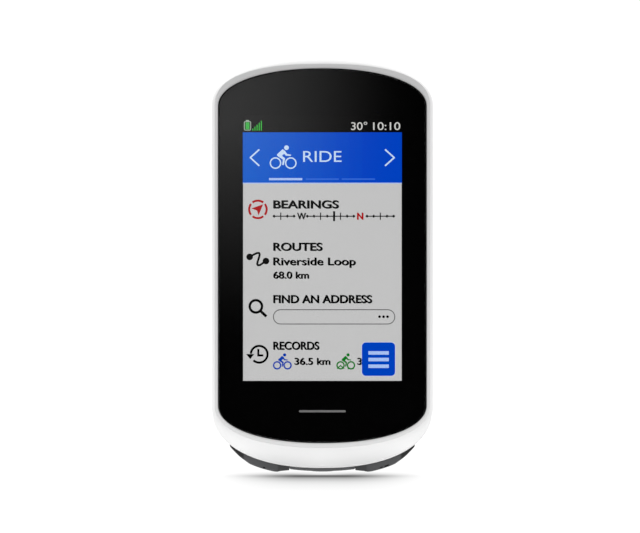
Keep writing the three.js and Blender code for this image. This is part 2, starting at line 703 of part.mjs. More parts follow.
const fasteners = new THREE.Group();
CASE_SCREWS.forEach(([x, z], index) => {
  fasteners.add(piece(`case_screw_${index + 1}`, STEEL, screw(1.9, 1.4, 0.85, 6.8), [x, -7.1, z]));
});
computer.add(fasteners);

export default computer;
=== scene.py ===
import math
from types import SimpleNamespace

import bmesh
import bpy
from mathutils import Matrix, Vector


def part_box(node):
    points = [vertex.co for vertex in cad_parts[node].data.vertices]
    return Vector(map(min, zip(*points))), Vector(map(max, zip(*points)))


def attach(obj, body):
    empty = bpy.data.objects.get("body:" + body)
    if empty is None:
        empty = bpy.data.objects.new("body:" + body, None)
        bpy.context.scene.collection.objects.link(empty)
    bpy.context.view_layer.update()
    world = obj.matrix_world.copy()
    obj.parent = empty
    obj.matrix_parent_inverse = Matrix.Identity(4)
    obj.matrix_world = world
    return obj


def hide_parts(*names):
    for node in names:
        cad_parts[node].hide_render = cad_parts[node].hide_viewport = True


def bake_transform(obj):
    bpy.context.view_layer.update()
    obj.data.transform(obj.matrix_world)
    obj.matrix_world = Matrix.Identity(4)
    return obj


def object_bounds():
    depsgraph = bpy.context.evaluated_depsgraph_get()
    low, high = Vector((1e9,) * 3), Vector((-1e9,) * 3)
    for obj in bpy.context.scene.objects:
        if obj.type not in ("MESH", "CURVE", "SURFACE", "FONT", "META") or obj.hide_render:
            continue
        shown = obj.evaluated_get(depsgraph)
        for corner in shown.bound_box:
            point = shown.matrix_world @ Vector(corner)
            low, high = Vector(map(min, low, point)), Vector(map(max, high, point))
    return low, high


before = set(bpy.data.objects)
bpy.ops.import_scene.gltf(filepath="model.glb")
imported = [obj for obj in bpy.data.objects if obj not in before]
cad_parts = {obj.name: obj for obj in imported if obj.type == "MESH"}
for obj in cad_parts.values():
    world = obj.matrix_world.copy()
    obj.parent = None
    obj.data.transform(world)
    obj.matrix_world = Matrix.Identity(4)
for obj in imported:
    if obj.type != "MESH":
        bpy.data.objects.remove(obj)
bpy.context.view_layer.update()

MM = 0.001


# ---- places read from the frame
def limits(node):
    """Lowest and highest corner of a CAD node, in millimetres."""
    low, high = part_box(node)
    return Vector(low) / MM, Vector(high) / MM


def middle(node):
    """The middle of a CAD node's box, in millimetres."""
    low, high = limits(node)
    return (low + high) / 2


class Outline:
    """A front-view outline: straight sides between a rounded top cap and a rounded bottom cap."""

    def __init__(self, half, top, bottom, top_cap, bottom_cap, power, low_power):
        self.half = half
        self.top = top
        self.bottom = bottom
        self.top_cap = top_cap
        self.bottom_cap = bottom_cap
        self.power = power
        self.low_power = low_power

    def inset(self, side, top=None, bottom=None):
        top = side if top is None else top
        bottom = side if bottom is None else bottom
        return Outline(self.half - side, self.top - top, self.bottom + bottom,
                       self.top_cap - top, self.bottom_cap - bottom, self.power, self.low_power)

    def towards(self, other, side, top, bottom):
        return Outline(mix(self.half, other.half, side), mix(self.top, other.top, top),
                       mix(self.bottom, other.bottom, bottom), mix(self.top_cap, other.top_cap, top),
                       mix(self.bottom_cap, other.bottom_cap, bottom), mix(self.power, other.power, top),
                       mix(self.low_power, other.low_power, bottom))

    def points(self, steps=40):
        """Points of the outline, anticlockwise as the screen is looked at."""
        ring = []
        caps = ((1, self.top_cap, self.top - self.top_cap, self.power),
                (-1, self.bottom_cap, self.bottom + self.bottom_cap, self.low_power))
        for side, cap, centre, power in caps:
            for i in range(2 * steps + 1):
                angle = math.pi * i / (2 * steps)
                across = math.copysign(abs(math.cos(angle)) ** (2 / power), math.cos(angle))
                rise = abs(math.sin(angle)) ** (2 / power)
                ring.append((side * across * self.half, centre + side * rise * cap))
        return ring

    def lower_edge(self, x):
        """Height of the outline's lower edge at a place across."""
        share = max(0.0, 1 - (abs(x) / self.half) ** self.low_power)
        return self.bottom + self.bottom_cap * (1 - share ** (1 / self.low_power))


def mix(a, b, share):
    return a + (b - a) * share


def evenly(start, end, count):
    return [mix(start, end, k / (count - 1)) for k in range(count)]


front_low, front_high = limits("front_housing")
rear_high = limits("rear_housing")[1]
lens_low, lens_high = limits("cover_lens")
cap_low, cap_high = limits("weather_cap")
panel_low, panel_high = limits("display_panel")
insert_low, insert_high = limits("quarter_turn_insert")

CAP_PROUD = 0.15
FRONT = Outline(front_high.x, front_high.z, front_low.z - 0.02, 11.85, 15.26, 2.2, 2.25)
REAR = Outline(rear_high.x, rear_high.z, cap_low.z + CAP_PROUD, 11.8, 15.8, 2.2, 2.2)
LENS = Outline(lens_high.x, lens_high.z, lens_low.z - 0.07, 9.72, 9.72, 2.14, 2.17)

PARTING = front_high.y
REAR_EDGE = PARTING + 0.2
BACK = insert_low.y - 0.05
REAR_ROUND = 5.0
INSERT_SCREWS = [(9, 3.3), (-9, 3.3), (-9, -3.3), (9, -3.3)]
KEY_MIDDLE = 16.3
KEY_DEPTH = -8.1
POWER_STEM_DEPTH = -12
PORT_DEPTH = -7.72
CONTACT_HEIGHT = 6.2
TETHER_HEIGHT = -37.5
LEDGE_FRONT = -17.1
LEDGE_BACK = -16.3
SCREEN_WIDTH = 40.8
SCREEN_HEIGHT = 68.0
SCREEN_X = (panel_low.x + panel_high.x) / 2
SCREEN_Z = (panel_low.z + panel_high.z) / 2


# ---- mesh helpers
def shade(mesh, sharp_degrees=32):
    """Smooth faces, with edges sharper than a limit kept crisp."""
    bm = bmesh.new()
    bm.from_mesh(mesh)
    bmesh.ops.recalc_face_normals(bm, faces=bm.faces)
    limit = math.radians(sharp_degrees)
    for face in bm.faces:
        face.smooth = True
    for edge in bm.edges:
        edge.smooth = len(edge.link_faces) == 2 and edge.calc_face_angle(0.0) < limit
    bm.to_mesh(mesh)
    bm.free()


def new_object(name, data):
    obj = bpy.data.objects.new(name, data)
    bpy.context.scene.collection.objects.link(obj)
    return obj


def make(name, verts, faces, sharp_degrees=32):
    """A mesh object from points in millimetres."""
    mesh = bpy.data.meshes.new(name)
    mesh.from_pydata([Vector(v) * MM for v in verts], [], faces)
    mesh.validate()
    shade(mesh, sharp_degrees)
    return new_object(name, mesh)


def band(near, far, count):
    """Faces between two closed rings of points, given the number of each ring's first point."""
    return [(near + i, far + i, far + (i + 1) % count, near + (i + 1) % count) for i in range(count)]


def quarter(steps, first=0):
    """Sine and cosine of each step of a quarter turn."""
    angles = [math.radians(90 * k / steps) for k in range(first, steps + 1)]
    return [(math.sin(angle), math.cos(angle)) for angle in angles]


def loft(name, stations, closed=False):
    """A solid through a row of (depth, outline) rings, with flat ends unless its section is closed."""
    verts = [(x, y, z) for y, outline in stations for x, z in outline.points()]
    total = len(stations)
    count = len(verts) // total
    faces = []
    for ring in range(total if closed else total - 1):
        faces += band(ring * count, (ring + 1) % total * count, count)
    if not closed:
        faces.append(tuple(range(count)))
        faces.append(tuple(len(verts) - 1 - i for i in range(count)))
    return make(name, verts, faces)


def grid_solid(name, xs, ys, lower, upper, sharp_degrees=32):
    """A closed slab over a grid of places, between two heights given as functions of x and y."""
    columns = len(ys)
    verts = [(x, y, lower(x, y)) for x in xs for y in ys]
    size = len(verts)
    verts += [(x, y, upper(x, y)) for x in xs for y in ys]
    faces = []
    for i in range(len(xs) - 1):
        for j in range(columns - 1):
            a = i * columns + j
            faces.append((a, a + 1, a + columns + 1, a + columns))
            faces.append((size + a, size + a + columns, size + a + columns + 1, size + a + 1))
    edge = list(range(columns))
    edge += [i * columns + columns - 1 for i in range(1, len(xs))]
    edge += [(len(xs) - 1) * columns + j for j in range(columns - 2, -1, -1)]
    edge += [i * columns for i in range(len(xs) - 2, 0, -1)]
    for k, a in enumerate(edge):
        b = edge[(k + 1) % len(edge)]
        faces.append((a, b, size + b, size + a))
    return make(name, verts, faces, sharp_degrees)


def lathe(name, profile, axis="Y", centre=(0, 0, 0), segments=48):
    """A turned piece: profile is (radius, place along the axis), from the axis out and back to the axis."""
    verts = []
    faces = []
    turn = {"Y": lambda r, c, s, h: (r * c, h, r * s), "Z": lambda r, c, s, h: (r * c, r * s, h),
            "X": lambda r, c, s, h: (h, r * c, r * s)}[axis]
    for radius, height in profile:
        if radius == 0:
            verts.append(turn(0, 0, 0, height))
        else:
            for k in range(segments):
                angle = 2 * math.pi * k / segments
                verts.append(turn(radius, math.cos(angle), math.sin(angle), height))
    a = 0
    for (near, _), (far, _) in zip(profile, profile[1:]):
        b = a + (1 if near == 0 else segments)
        if near and far:
            faces += band(a, b, segments)
        elif far:
            faces += [(a, b + k, b + (k + 1) % segments) for k in range(segments)]
        else:
            faces += [(a + k, b, a + (k + 1) % segments) for k in range(segments)]
        a = b
    return make(name, [Vector(v) + Vector(centre) for v in verts], faces)


def turned_ring(name, section, segments=120):
    """A ring around the depth axis, from its closed section of (radius, depth)."""
    count = len(section)
    verts = []
    faces = []
    for k in range(segments):
        angle = 2 * math.pi * k / segments
        verts += [(r * math.cos(angle), y, r * math.sin(angle)) for r, y in section]
    for k in range(segments):
        faces += band(k * count, (k + 1) % segments * count, count)
    return make(name, verts, faces)


def rounded_rectangle(width, height, radius, x=0.0, z=0.0, steps=6):
    """Corner-rounded rectangle as a list of (x, z), anticlockwise."""
    points = []
    for k, (sx, sz) in enumerate(((1, 1), (-1, 1), (-1, -1), (1, -1))):
        for i in range(steps + 1):
            angle = math.pi / 2 * (k + i / steps)
            points.append((x + sx * (width / 2 - radius) + radius * math.cos(angle),
                           z + sz * (height / 2 - radius) + radius * math.sin(angle)))
    return points


def prism(name, outline, low, high, axis="Y"):
    """An outline drawn across an axis, made solid between two places on it."""
    place = {"Y": lambda a, b, h: (a, h, b), "Z": lambda a, b, h: (a, b, h),
             "X": lambda a, b, h: (h, a, b)}[axis]
    count = len(outline)
    verts = [place(a, b, low) for a, b in outline] + [place(a, b, high) for a, b in outline]
    faces = [tuple(range(count)), tuple(2 * count - 1 - i for i in range(count))]
    return make(name, verts, faces + band(0, count, count))


def cut(obj, cutters, operation="DIFFERENCE"):
    """Cuts or joins other objects into obj, and removes them."""
    for cutter in cutters:
        modifier = obj.modifiers.new("cut", "BOOLEAN")
        modifier.operation = operation
        modifier.solver = "MANIFOLD"
        modifier.object = cutter
    graph = bpy.context.evaluated_depsgraph_get()
    mesh = bpy.data.meshes.new_from_object(obj.evaluated_get(graph))
    obj.modifiers.clear()
    old = obj.data
    obj.data = mesh
    bpy.data.meshes.remove(old)
    for cutter in cutters:
        bpy.data.objects.remove(cutter)
    shade(obj.data)
    return obj


def soften(obj, width, segments, limit_degrees):
    """A small rounded edge on every crisp corner."""
    bevel = obj.modifiers.new("soften", "BEVEL")
    bevel.width = width * MM
    bevel.segments = segments
    bevel.limit_method = "ANGLE"
    bevel.angle_limit = math.radians(limit_degrees)
    bevel.harden_normals = True


def settle(obj, body, slot, material, *nodes):
    """Gives a piece its finish and the body it rides on, and hides the CAD nodes it stands for."""
    obj.data.materials.clear()
    obj.data.materials.append(material)
    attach(obj, body)
    if nodes:
        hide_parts(*nodes)
    return obj


# ---- materials
class Tree:
    """The node tree of a material or world, with short ways to add and join nodes."""

    def __init__(self, owner):
        owner.use_nodes = True
        self.nodes = owner.node_tree.nodes
        self.links = owner.node_tree.links

    def node(self, kind, inputs=None):
        """A new node, its inputs set from plain values or from other nodes' outputs."""
        node = self.nodes.new("ShaderNode" + kind)
        self.feed(node, inputs or {})
        return node

    def feed(self, node, inputs):
        for place, value in inputs.items():
            if isinstance(value, bpy.types.NodeSocket):
                self.links.new(value, node.inputs[place])
            else:
                node.inputs[place].default_value = value

    def maths(self, operation, first, second):
        """Joins two outputs, or an output and a number, by arithmetic."""
        node = self.node("Math", {0: first, 1: second})
        node.operation = operation
        return node.outputs[0]

    def product(self, *factors):
        result = factors[0]
        for factor in factors[1:]:
            result = self.maths("MULTIPLY", result, factor)
        return result

    def ranged(self, source, start, end, low, high, smooth=False):
        """Maps one range of numbers to another."""
        node = self.node("MapRange", {"From Min": start, "From Max": end, "To Min": low, "To Max": high,
                                      "Value": source})
        node.interpolation_type = "SMOOTHSTEP" if smooth else "LINEAR"
        return node.outputs["Result"]

    def spread(self, factor, low, high):
        """Maps noise to a range of numbers."""
        return self.ranged(factor, NOISE_LOW, NOISE_HIGH, low, high)

    def ramp(self, factor, stops):
        """Maps a 0 to 1 factor to colours, given as (place, colour) stops."""
        node = self.node("ValToRGB", {"Fac": factor})
        elements = node.color_ramp.elements
        while len(elements) < len(stops):
            elements.new(0.5)
        for element, (place, color) in zip(elements, stops):
            element.position = place
            element.color = (*color, 1)
        return node.outputs["Color"]

    def tint(self, factor, dark, light):
        """Maps noise to a range of colours."""
        return self.ramp(factor, [(NOISE_LOW, dark), (NOISE_HIGH, light)])

    def axes(self, space="Object"):
        """The x, y and z outputs of a place in the piece's own space, or another."""
        return self.node("SeparateXYZ", {0: self.node("TexCoord").outputs[space]}).outputs

    def noise(self, scale, detail=2.0, stretch=(1, 1, 1)):
        """Noise in the piece's own space; scale is in bumps per metre."""
        place = self.node("TexCoord").outputs["Object"]
        mapping = self.node("Mapping", {"Scale": stretch, "Vector": place})
        vector = mapping.outputs["Vector"]
        return self.node("TexNoise", {"Scale": scale, "Detail": detail, "Vector": vector}).outputs["Fac"]

    def mixed(self, share, first, second):
        """Two shaders mixed by a share."""
        return self.node("MixShader", {"Fac": share, 1: first, 2: second}).outputs[0]


NOISE_LOW = 0.3
NOISE_HIGH = 0.7
GRAIN_DEPTH = 0.02 * MM
FACE_ON_MIRROR = 0.04
LIT_DIM = (0.10, 0.14)


def new_material(name):
    material = bpy.data.materials.new(name)
    tree = Tree(material)
    return material, tree, tree.nodes["Principled BSDF"]


def bare_material(name):
    """A material with nothing but its output node."""
    material, tree, shader = new_material(name)
    tree.nodes.remove(shader)
    return material, tree, tree.nodes["Material Output"]


def scaled(color, share):
    return tuple(min(1.0, c * share) for c in color)


def surface(name, color, roughness, variation=0.03, rough_spread=0.04, cloud=90, grain=9000, bump=0.02,
            metallic=0.0, specular=0.5, stretch=(1, 1, 1)):
    """A moulded or machined surface: faint colour clouds, uneven gloss and a fine grain."""
    material, tree, shader = new_material(name)
    clouds = tree.noise(cloud, 3.0, stretch)
    grains = tree.noise(grain, 2.0, stretch)
    lump = tree.node("Bump", {"Strength": bump, "Distance": GRAIN_DEPTH, "Height": grains})
    tree.feed(shader, {
        "Base Color": tree.tint(clouds, scaled(color, 1 - variation), scaled(color, 1 + variation)),
        "Roughness": tree.spread(grains, roughness - rough_spread, roughness + rough_spread),
        "Metallic": metallic, "Specular IOR Level": specular, "Normal": lump.outputs["Normal"]})
    return material


def clear_glass(name, gloss=1.0):
    """Clear glass: what is behind shows through, and the surface mirrors a little more at the edge."""
    material, tree, output = bare_material(name)
    smudge = tree.spread(tree.noise(260, 3.0), 0.0, 0.012)
    mirror = tree.node("BsdfGlossy", {"Color": (gloss, gloss, gloss, 1), "Roughness": smudge})
    facing = tree.node("LayerWeight", {"Blend": 0.5}).outputs["Facing"]
    share = tree.ranged(tree.maths("POWER", facing, 5.0), 0.0, 1.0, FACE_ON_MIRROR, 1.0)
    clear = tree.node("BsdfTransparent").outputs["BSDF"]
    tree.feed(output, {"Surface": tree.mixed(share, clear, mirror.outputs["BSDF"])})
    return material


def lit(name, color, strength=1.0):
    """A lit screen colour, with the fine cell grid of a display in its unlit colour."""
    material, tree, shader = new_material(name)
    dim, less_dim = [scaled(color, share) for share in LIT_DIM]
    base = tree.tint(tree.noise(5800, 0.0), dim, less_dim)
    tree.feed(shader, {"Base Color": base, "Roughness": 0.6, "Specular IOR Level": 0.0,
                       "Emission Color": (*color, 1), "Emission Strength": strength})
    return material


WHITE = surface("satin_white_plastic", (0.80, 0.80, 0.80), 0.36, 0.008, 0.03, 60, 14000, 0.05)
WHITE_KEY = surface("white_key_plastic", (0.79, 0.79, 0.78), 0.33, 0.008, 0.03, 60, 14000, 0.04)
DARK = surface("textured_dark_plastic", (0.045, 0.046, 0.048), 0.52, 0.06, 0.07, 140, 7000, 0.35)
INSERT = surface("filled_black_plastic", (0.022, 0.022, 0.024), 0.46, 0.08, 0.06, 160, 8000, 0.22)
CAP_RUBBER = surface("matt_cap_rubber", (0.098, 0.099, 0.102), 0.62, 0.05, 0.05, 200, 11000, 0.18)


# Painted shade on the keys' sloped ends: (distance from the middle in metres, share of the rubber's colour
# kept there).
KEY_PAINTED_SHADE = [(0.0113, 0.55), (0.0117, 1.0), (0.0201, 1.0), (0.0206, 0.08)]
KEY_REACH = 0.025


def key_rubber():
    """Key rubber, with painted shade that darkens its sloped ends against the face between them."""
    material = surface("key_rubber_painted_shade", (0.070, 0.071, 0.074), 0.62, 0.05, 0.05, 200, 11000, 0.18)
    tree = Tree(material)
    shader = tree.nodes["Principled BSDF"]
    across = tree.maths("ABSOLUTE", tree.axes()["X"], 0.0)
    stops = [(place / KEY_REACH, (share, share, share)) for place, share in KEY_PAINTED_SHADE]
    # Painted shade: the rubber's colour is darkened on the sloped ends, by distance from the key's middle.
    painted_shade = tree.ramp(tree.maths("DIVIDE", across, KEY_REACH), stops)
    blend = tree.node("Mix")
    blend.data_type = "RGBA"
    blend.blend_type = "MULTIPLY"
    tree.feed(blend, {"Factor": 1, "A": shader.inputs["Base Color"].links[0].from_socket, "B": painted_shade})
    tree.feed(shader, {"Base Color": blend.outputs["Result"]})
    return material


KEY_RUBBER_PAINTED_SHADE = key_rubber()
SEAL = surface("black_silicone", (0.012, 0.012, 0.012), 0.55, 0.08, 0.06, 300, 9000, 0.1)
INK = surface("black_border_ink", (0.0015, 0.0015, 0.0016), 0.6, 0.1, 0.05, 200, 9000, 0.0, specular=0.0)
PRINT = surface("grey_print", (0.22, 0.22, 0.22), 0.5, 0.05, 0.05, 200, 9000, 0.0)
STEEL = surface("turned_steel", (0.42, 0.43, 0.45), 0.3, 0.05, 0.06, 400, 12000, 0.06, metallic=1.0)
TINNED = surface("tinned_steel", (0.55, 0.56, 0.58), 0.34, 0.05, 0.08, 220, 9000, 0.08, metallic=1.0)
GOLD = surface("gold_plating", (0.83, 0.60, 0.24), 0.22, 0.04, 0.05, 300, 12000, 0.05, metallic=1.0)
SHEET = surface("blasted_aluminium", (0.62, 0.63, 0.65), 0.42, 0.04, 0.06, 180, 8000, 0.12, metallic=1.0)
FOIL = surface("foil_wrap", (0.45, 0.46, 0.48), 0.4, 0.05, 0.08, 90, 4000, 0.2, metallic=0.85,
               stretch=(1, 1, 0.2))
FLEX = surface("amber_flex", (0.26, 0.11, 0.02), 0.35, 0.08, 0.05, 260, 9000, 0.05)
BOARD = surface("green_solder_mask", (0.02, 0.10, 0.055), 0.38, 0.18, 0.06, 900, 9000, 0.1)
CERAMIC = surface("fired_ceramic", (0.60, 0.54, 0.45), 0.55, 0.05, 0.05, 300, 9000, 0.1)
RESIN = surface("moulded_resin", (0.02, 0.02, 0.022), 0.5, 0.08, 0.06, 300, 9000, 0.1)
MEMBRANE = surface("porous_membrane", (0.75, 0.75, 0.74), 0.8, 0.04, 0.05, 500, 14000, 0.2)
COVER_GLASS = clear_glass("cover_glass")
TOUCH_FILM = clear_glass("touch_film", 0.05)


# ---- front housing
CHAMFER_REACH = 0.46
CHAMFER_REACH_CHIN = 0.185
CORNER_SWELL = 0.30
RIM_CREST = -18.42
RIM_INNER = -18.08
CREST_SLOPE = math.radians(22)
LENS_GAP = 0.04
GLASS_EDGE = 0.1
ROUND_DEPTH = 2.6
LIP_REACH = 0.945
LIP_START = PARTING - 0.45


def case_screws():
    """Where the six screws that hold the two housings together stand."""
    places = [middle(f"case_screw_{index}") for index in range(1, 7)]
    return [(place.x, place.z) for place in places]


def stepped(start, *steps):
    """Half section of a stepped rod: from its start, each step is (radius, where it ends)."""
    profile = [(0, start)]
    for radius, end in steps:
        profile += [(radius, profile[-1][1]), (radius, end)]
    return profile + [(0, profile[-1][1])]


def rod(name, radius, low, high, x, z, segments=32):
    """A plain round rod along the depth."""
    return lathe(name, stepped(low, (radius, high)), centre=(x, 0, z), segments=segments)


def rim_ring(y, side, top, bottom):
    """A ring of the front skin; the shares run from 0 at the lens's edge to 1 at the outer outline.

    Halfway out, the ring swells at the top corners, so the flat of the rim is widest there.
    """
    ring = LENS.inset(-LENS_GAP).towards(FRONT, side, top, bottom)
    ring.power += CORNER_SWELL * min(top / CHAMFER_REACH, (1 - top) / (1 - CHAMFER_REACH))
    return y, ring


def chin_share(y):
    """How far out the sloped chin has come at a depth."""
    return mix(CHAMFER_REACH_CHIN, LIP_REACH, (y - RIM_CREST) / (LIP_START - RIM_CREST))


def front_stations():
    """The front housing's section, from the lens's edge over the rim and back inside to the ledge."""
    stations = [rim_ring(RIM_INNER + 0.12, 0, 0, 0), rim_ring(RIM_INNER + 0.03, 0.01, 0.01, 0.004),
                rim_ring(RIM_INNER, 0.04, 0.04, 0.014)]
    for k in range(1, 5):
        share = k / 5
        slope = 0.08 + 0.87 * share
        rim = CHAMFER_REACH * slope
        stations.append(rim_ring(mix(RIM_INNER, RIM_CREST, share), rim, rim, CHAMFER_REACH_CHIN * slope))
    for k in range(13):
        angle = mix(CREST_SLOPE, math.pi / 2, k / 12)
        y = RIM_CREST + ROUND_DEPTH * (1 - math.cos(angle) / math.cos(CREST_SLOPE))
        out = (math.sin(angle) - math.sin(CREST_SLOPE)) / (1 - math.sin(CREST_SLOPE))
        share = mix(CHAMFER_REACH, 1, out)
        stations.append(rim_ring(y, share, share, chin_share(y)))
    for k in range(1, 6):
        y = mix(RIM_CREST + ROUND_DEPTH, LIP_START, k / 5)
        stations.append(rim_ring(y, 1, 1, chin_share(y)))
    for sine, cosine in quarter(5, 1):
        stations.append(rim_ring(mix(LIP_START, PARTING - 0.12, 1 - cosine), 1, 1, mix(LIP_REACH, 1, sine)))
    inner, shelf = FRONT.inset(2, 1.9, 2.35), LENS.inset(2)
    return stations + [
        (PARTING - 0.03, FRONT.inset(0.03)), (PARTING, FRONT.inset(0.12)), (PARTING, inner), (-12.2, inner),
        (LEDGE_BACK, FRONT.inset(2, 1.9, 5.7)), (LEDGE_BACK, shelf), (LEDGE_FRONT, shelf),
        (LEDGE_FRONT, LENS.inset(-LENS_GAP))]


def power_key_holes():
    """The pocket around the power key's cap, and the stepped hole for its stem and seal."""
    low, high = limits("power_button")
    centre = middle("power_button")
    around = rounded_rectangle(high.z - low.z + 0.5, high.y - low.y + 0.5, 1.74, centre.z, centre.y, 10)
    stem = stepped(-28, (1.15, -26.9), (1.4, -25.5))
    return [prism("pocket", [(y, z) for z, y in around], -FRONT.half - 2, -FRONT.half + 1, "X"),
            lathe("stem_hole", stem, "X", (0, POWER_STEM_DEPTH, centre.z))]


def front_shell():
    shell = loft("front_shell", front_stations(), closed=True)
    cut(shell, [rod("boss", 1.9, -16.6, PARTING - 0.1, x, z) for x, z in case_screws()], "UNION")
    holes = [rod("boss_hole", 1.05, -14.3, PARTING + 1, x, z) for x, z in case_screws()]
    cut(shell, holes + power_key_holes())
    return settle(shell, "root", "white_plastic", WHITE, "front_housing")


# ---- rear housing
def round_inset(y):
    """How far the quarter round on the back has pulled the wall in at a depth."""
    rise = min(1.0, max(0.0, (y - (BACK - REAR_ROUND)) / REAR_ROUND))
    return REAR_ROUND * (1 - math.sqrt(1 - rise * rise))


def rear_bottom(x, y, depth=0.0):
    """Height of the rear housing's lower wall, or of a surface that far under its skin."""
    return REAR.inset(depth + round_inset(y)).lower_edge(x)


def pocket_cutter(name, x0, x1, y0, y1, depth):
    return grid_solid(name, evenly(x0, x1, 40), evenly(y0, y1, 14),
                      lambda x, y: -57.0, lambda x, y: rear_bottom(x, y, depth))


def round_stations(outline, radius, steps):
    """Stations of the quarter round towards the back, around the same middle for every radius."""
    return [(BACK - REAR_ROUND + radius * sine, outline.inset(radius * (1 - cosine)))
            for sine, cosine in quarter(steps)]


def rear_body():
    """The rear housing's outer shape: straight walls, a quarter round and a flat back."""
    edge = [(REAR_EDGE, REAR.inset(0.12)), (REAR_EDGE + 0.03, REAR.inset(0.03)), (REAR_EDGE + 0.12, REAR)]
    return loft("rear_shell", edge + round_stations(REAR, REAR_ROUND, 20))


def rear_hollow():
    """The room inside the rear housing, around its screw columns, the mount's boss and the tether's box."""
    cavity = REAR.inset(2, 2, 3.55)
    hollow = loft("hollow", [(REAR_EDGE - 1, cavity)] + round_stations(cavity, REAR_ROUND - 1.5, 8))
    kept = [rod("boss", 13.5, -5.7, -2, 0, 0, 96)]
    kept.append(prism("tether_box", rounded_rectangle(13, 9, 1.8, 0, TETHER_HEIGHT), -7.6, -2))
    column = stepped(REAR_EDGE, (2.2, -7.9), (2.9, -2))
    kept += [lathe("column", column, centre=(x, 0, z), segments=40) for x, z in case_screws()]
    return cut(hollow, kept)


def locating_tongue():
    """The ring that slides inside the front housing, open where the screws and the power key pass."""
    outer, inner = REAR.inset(1.9, 1.9, 3.3), REAR.inset(2.9, 2.9, 4.1)
    stations = [(-11.9, outer), (-9, outer), (-9, inner), (-12, inner), (-12, REAR.inset(2, 2, 3.4))]
    ring = loft("tongue", stations, closed=True)
    gaps = [rod("gap", 2.3, -13, REAR_EDGE, x, z) for x, z in case_screws()]
    key_gap = rounded_rectangle(6, 3.6, 0.2, -27, middle("power_button").z)
    return cut(ring, gaps + [prism("key_gap", key_gap, -13, REAR_EDGE)])


def seal_groove():
    outer, inner = REAR.inset(1, 1, 1.75), REAR.inset(1.6, 1.6, 2.45)
    return loft("groove", [(REAR_EDGE - 1, outer), (-9.75, outer), (-9.75, inner), (REAR_EDGE - 1, inner)],
                closed=True)


def rear_shell():
    shell = rear_body()
    cut(shell, [rear_hollow()])
    cut(shell, [locating_tongue()], "UNION")
    cut(shell, [seal_groove()] + rear_cutters())
    return settle(shell, "root", "dark_plastic", DARK, "rear_housing")


def rear_cutters():
    key_stem = stepped(-53, (1.2, -48), (1.8, -44))
    counterbore = stepped(-13, (1, -7.15), (2.1, -2))
    cutters = []
    for side in (1, -1):
        cutters.append(pocket_cutter("key_pocket", side * 8.55, side * 24.25, REAR_EDGE - 1, -4.8, 1.3))
        cutters.append(lathe("stem_hole", key_stem, "Z", (side * KEY_MIDDLE, KEY_DEPTH, 0)))
    cutters.append(pocket_cutter("cap_pocket", -8.42, 8.42, REAR_EDGE - 1, -4.75, 1.35))
    cutters.append(pocket_cutter("anchor_pocket", -4.2, 4.2, -5, -3.85, 1.0))
    cutters.append(prism("port_hole", rounded_rectangle(9.4, 3.7, 1.84, 0, PORT_DEPTH, 8), -54, -46.3, "Z"))
    cutters += [lathe("counterbore", counterbore, centre=(x, 0, z)) for x, z in case_screws()]
    cutters += [rod("screw_hole", 0.95, -5.45, -2, x, z) for x, z in INSERT_SCREWS]
    cutters.append(turned_ring("gasket_groove", [(10.8, -4.05), (12, -4.05), (12, -2), (10.8, -2)]))
    cutters.append(prism("contact_slot", rounded_rectangle(14, 3.8, 0.2, 0, CONTACT_HEIGHT), -7, -2))
    cutters += tether_cutters()
    cutters += [rod("sound_hole", 0.5, -6, -2, x, 41, 24) for x in (-2.4, 0, 2.4)]
    return cutters + [rod("vent_hole", 0.6, -6, -2, 13, 30, 24)]


def tether_cutters():
    """Two slots with a bar between them, joined under the bar."""
    slots = [prism("tether_slot", rounded_rectangle(11, 2.6, 1.2, 0, TETHER_HEIGHT + shift, 8), -5.3, -2)
             for shift in (2.2, -2.2)]
    return [prism("tether", rounded_rectangle(11, 7, 1.6, 0, TETHER_HEIGHT, 8), -6.6, -5.1)] + slots


# ---- lens, border ink and screen
LENS_ROUND = 0.1
BEAD_PROUD = 0.012


def lens_gasket():
    """The black bead in the gap between the glass and the rim, with a lip over the glass's rounded edge."""
    near, far = LENS.inset(GLASS_EDGE - 0.01), LENS.inset(-0.85 * LENS_GAP)
    lip = LENS.inset(GLASS_EDGE + LENS_ROUND)
    front, back = lens_low.y - BEAD_PROUD, lens_high.y + 0.15
    section = [(front, lip), (front, far), (back, far), (back, near),
               (front + LENS_ROUND + BEAD_PROUD, near), (front + 0.01, lip)]
    return settle(loft("lens_gasket", section, closed=True), "root", "black_ink", INK)


def cover_lens():
    face, back = lens_low.y, lens_high.y
    glass = LENS.inset(GLASS_EDGE)
    stations = [(face, glass.inset(0.3)), (face, glass.inset(LENS_ROUND))]
    stations += [(face + LENS_ROUND * (1 - cosine), glass.inset(LENS_ROUND * (1 - sine)))
                 for sine, cosine in quarter(4, 1)]
    stations += [(back - 0.05, glass), (back, glass.inset(0.05)), (back, glass.inset(0.2))]
    return settle(loft("lens_glass", stations), "root", "cover_glass", COVER_GLASS, "cover_lens")


def border_ink():
    """The printed border: the lens's outline outside, the lit area's rectangle inside."""
    low, high = limits("lens_mask")
    outer = LENS.inset(GLASS_EDGE).points()
    half_w, half_h = SCREEN_WIDTH / 2 + 0.05, SCREEN_HEIGHT / 2 + 0.05
    inner = []
    for x, z in outer:
        dx, dz = x - SCREEN_X, z - SCREEN_Z
        reach = min(half_w / max(abs(dx), 1e-6), half_h / max(abs(dz), 1e-6))
        inner.append((SCREEN_X + dx * reach, SCREEN_Z + dz * reach))
    corners = [(SCREEN_X + sx * half_w, SCREEN_Z + sz * half_h) for sx in (1, -1) for sz in (1, -1)]
    for corner in corners:
        nearest = min(range(len(inner)), key=lambda i: math.dist(inner[i], corner))
        inner[nearest] = corner
    count = len(outer)
    rings = ((outer, low.y), (outer, high.y), (inner, high.y), (inner, low.y))
    verts = [(x, y, z) for ring, y in rings for x, z in ring]
    faces = [face for k in range(4) for face in band(k * count, (k + 1) % 4 * count, count)]
    ink = make("border_ink", verts, faces)
    return settle(ink, "root", "black_ink", INK, "lens_mask")


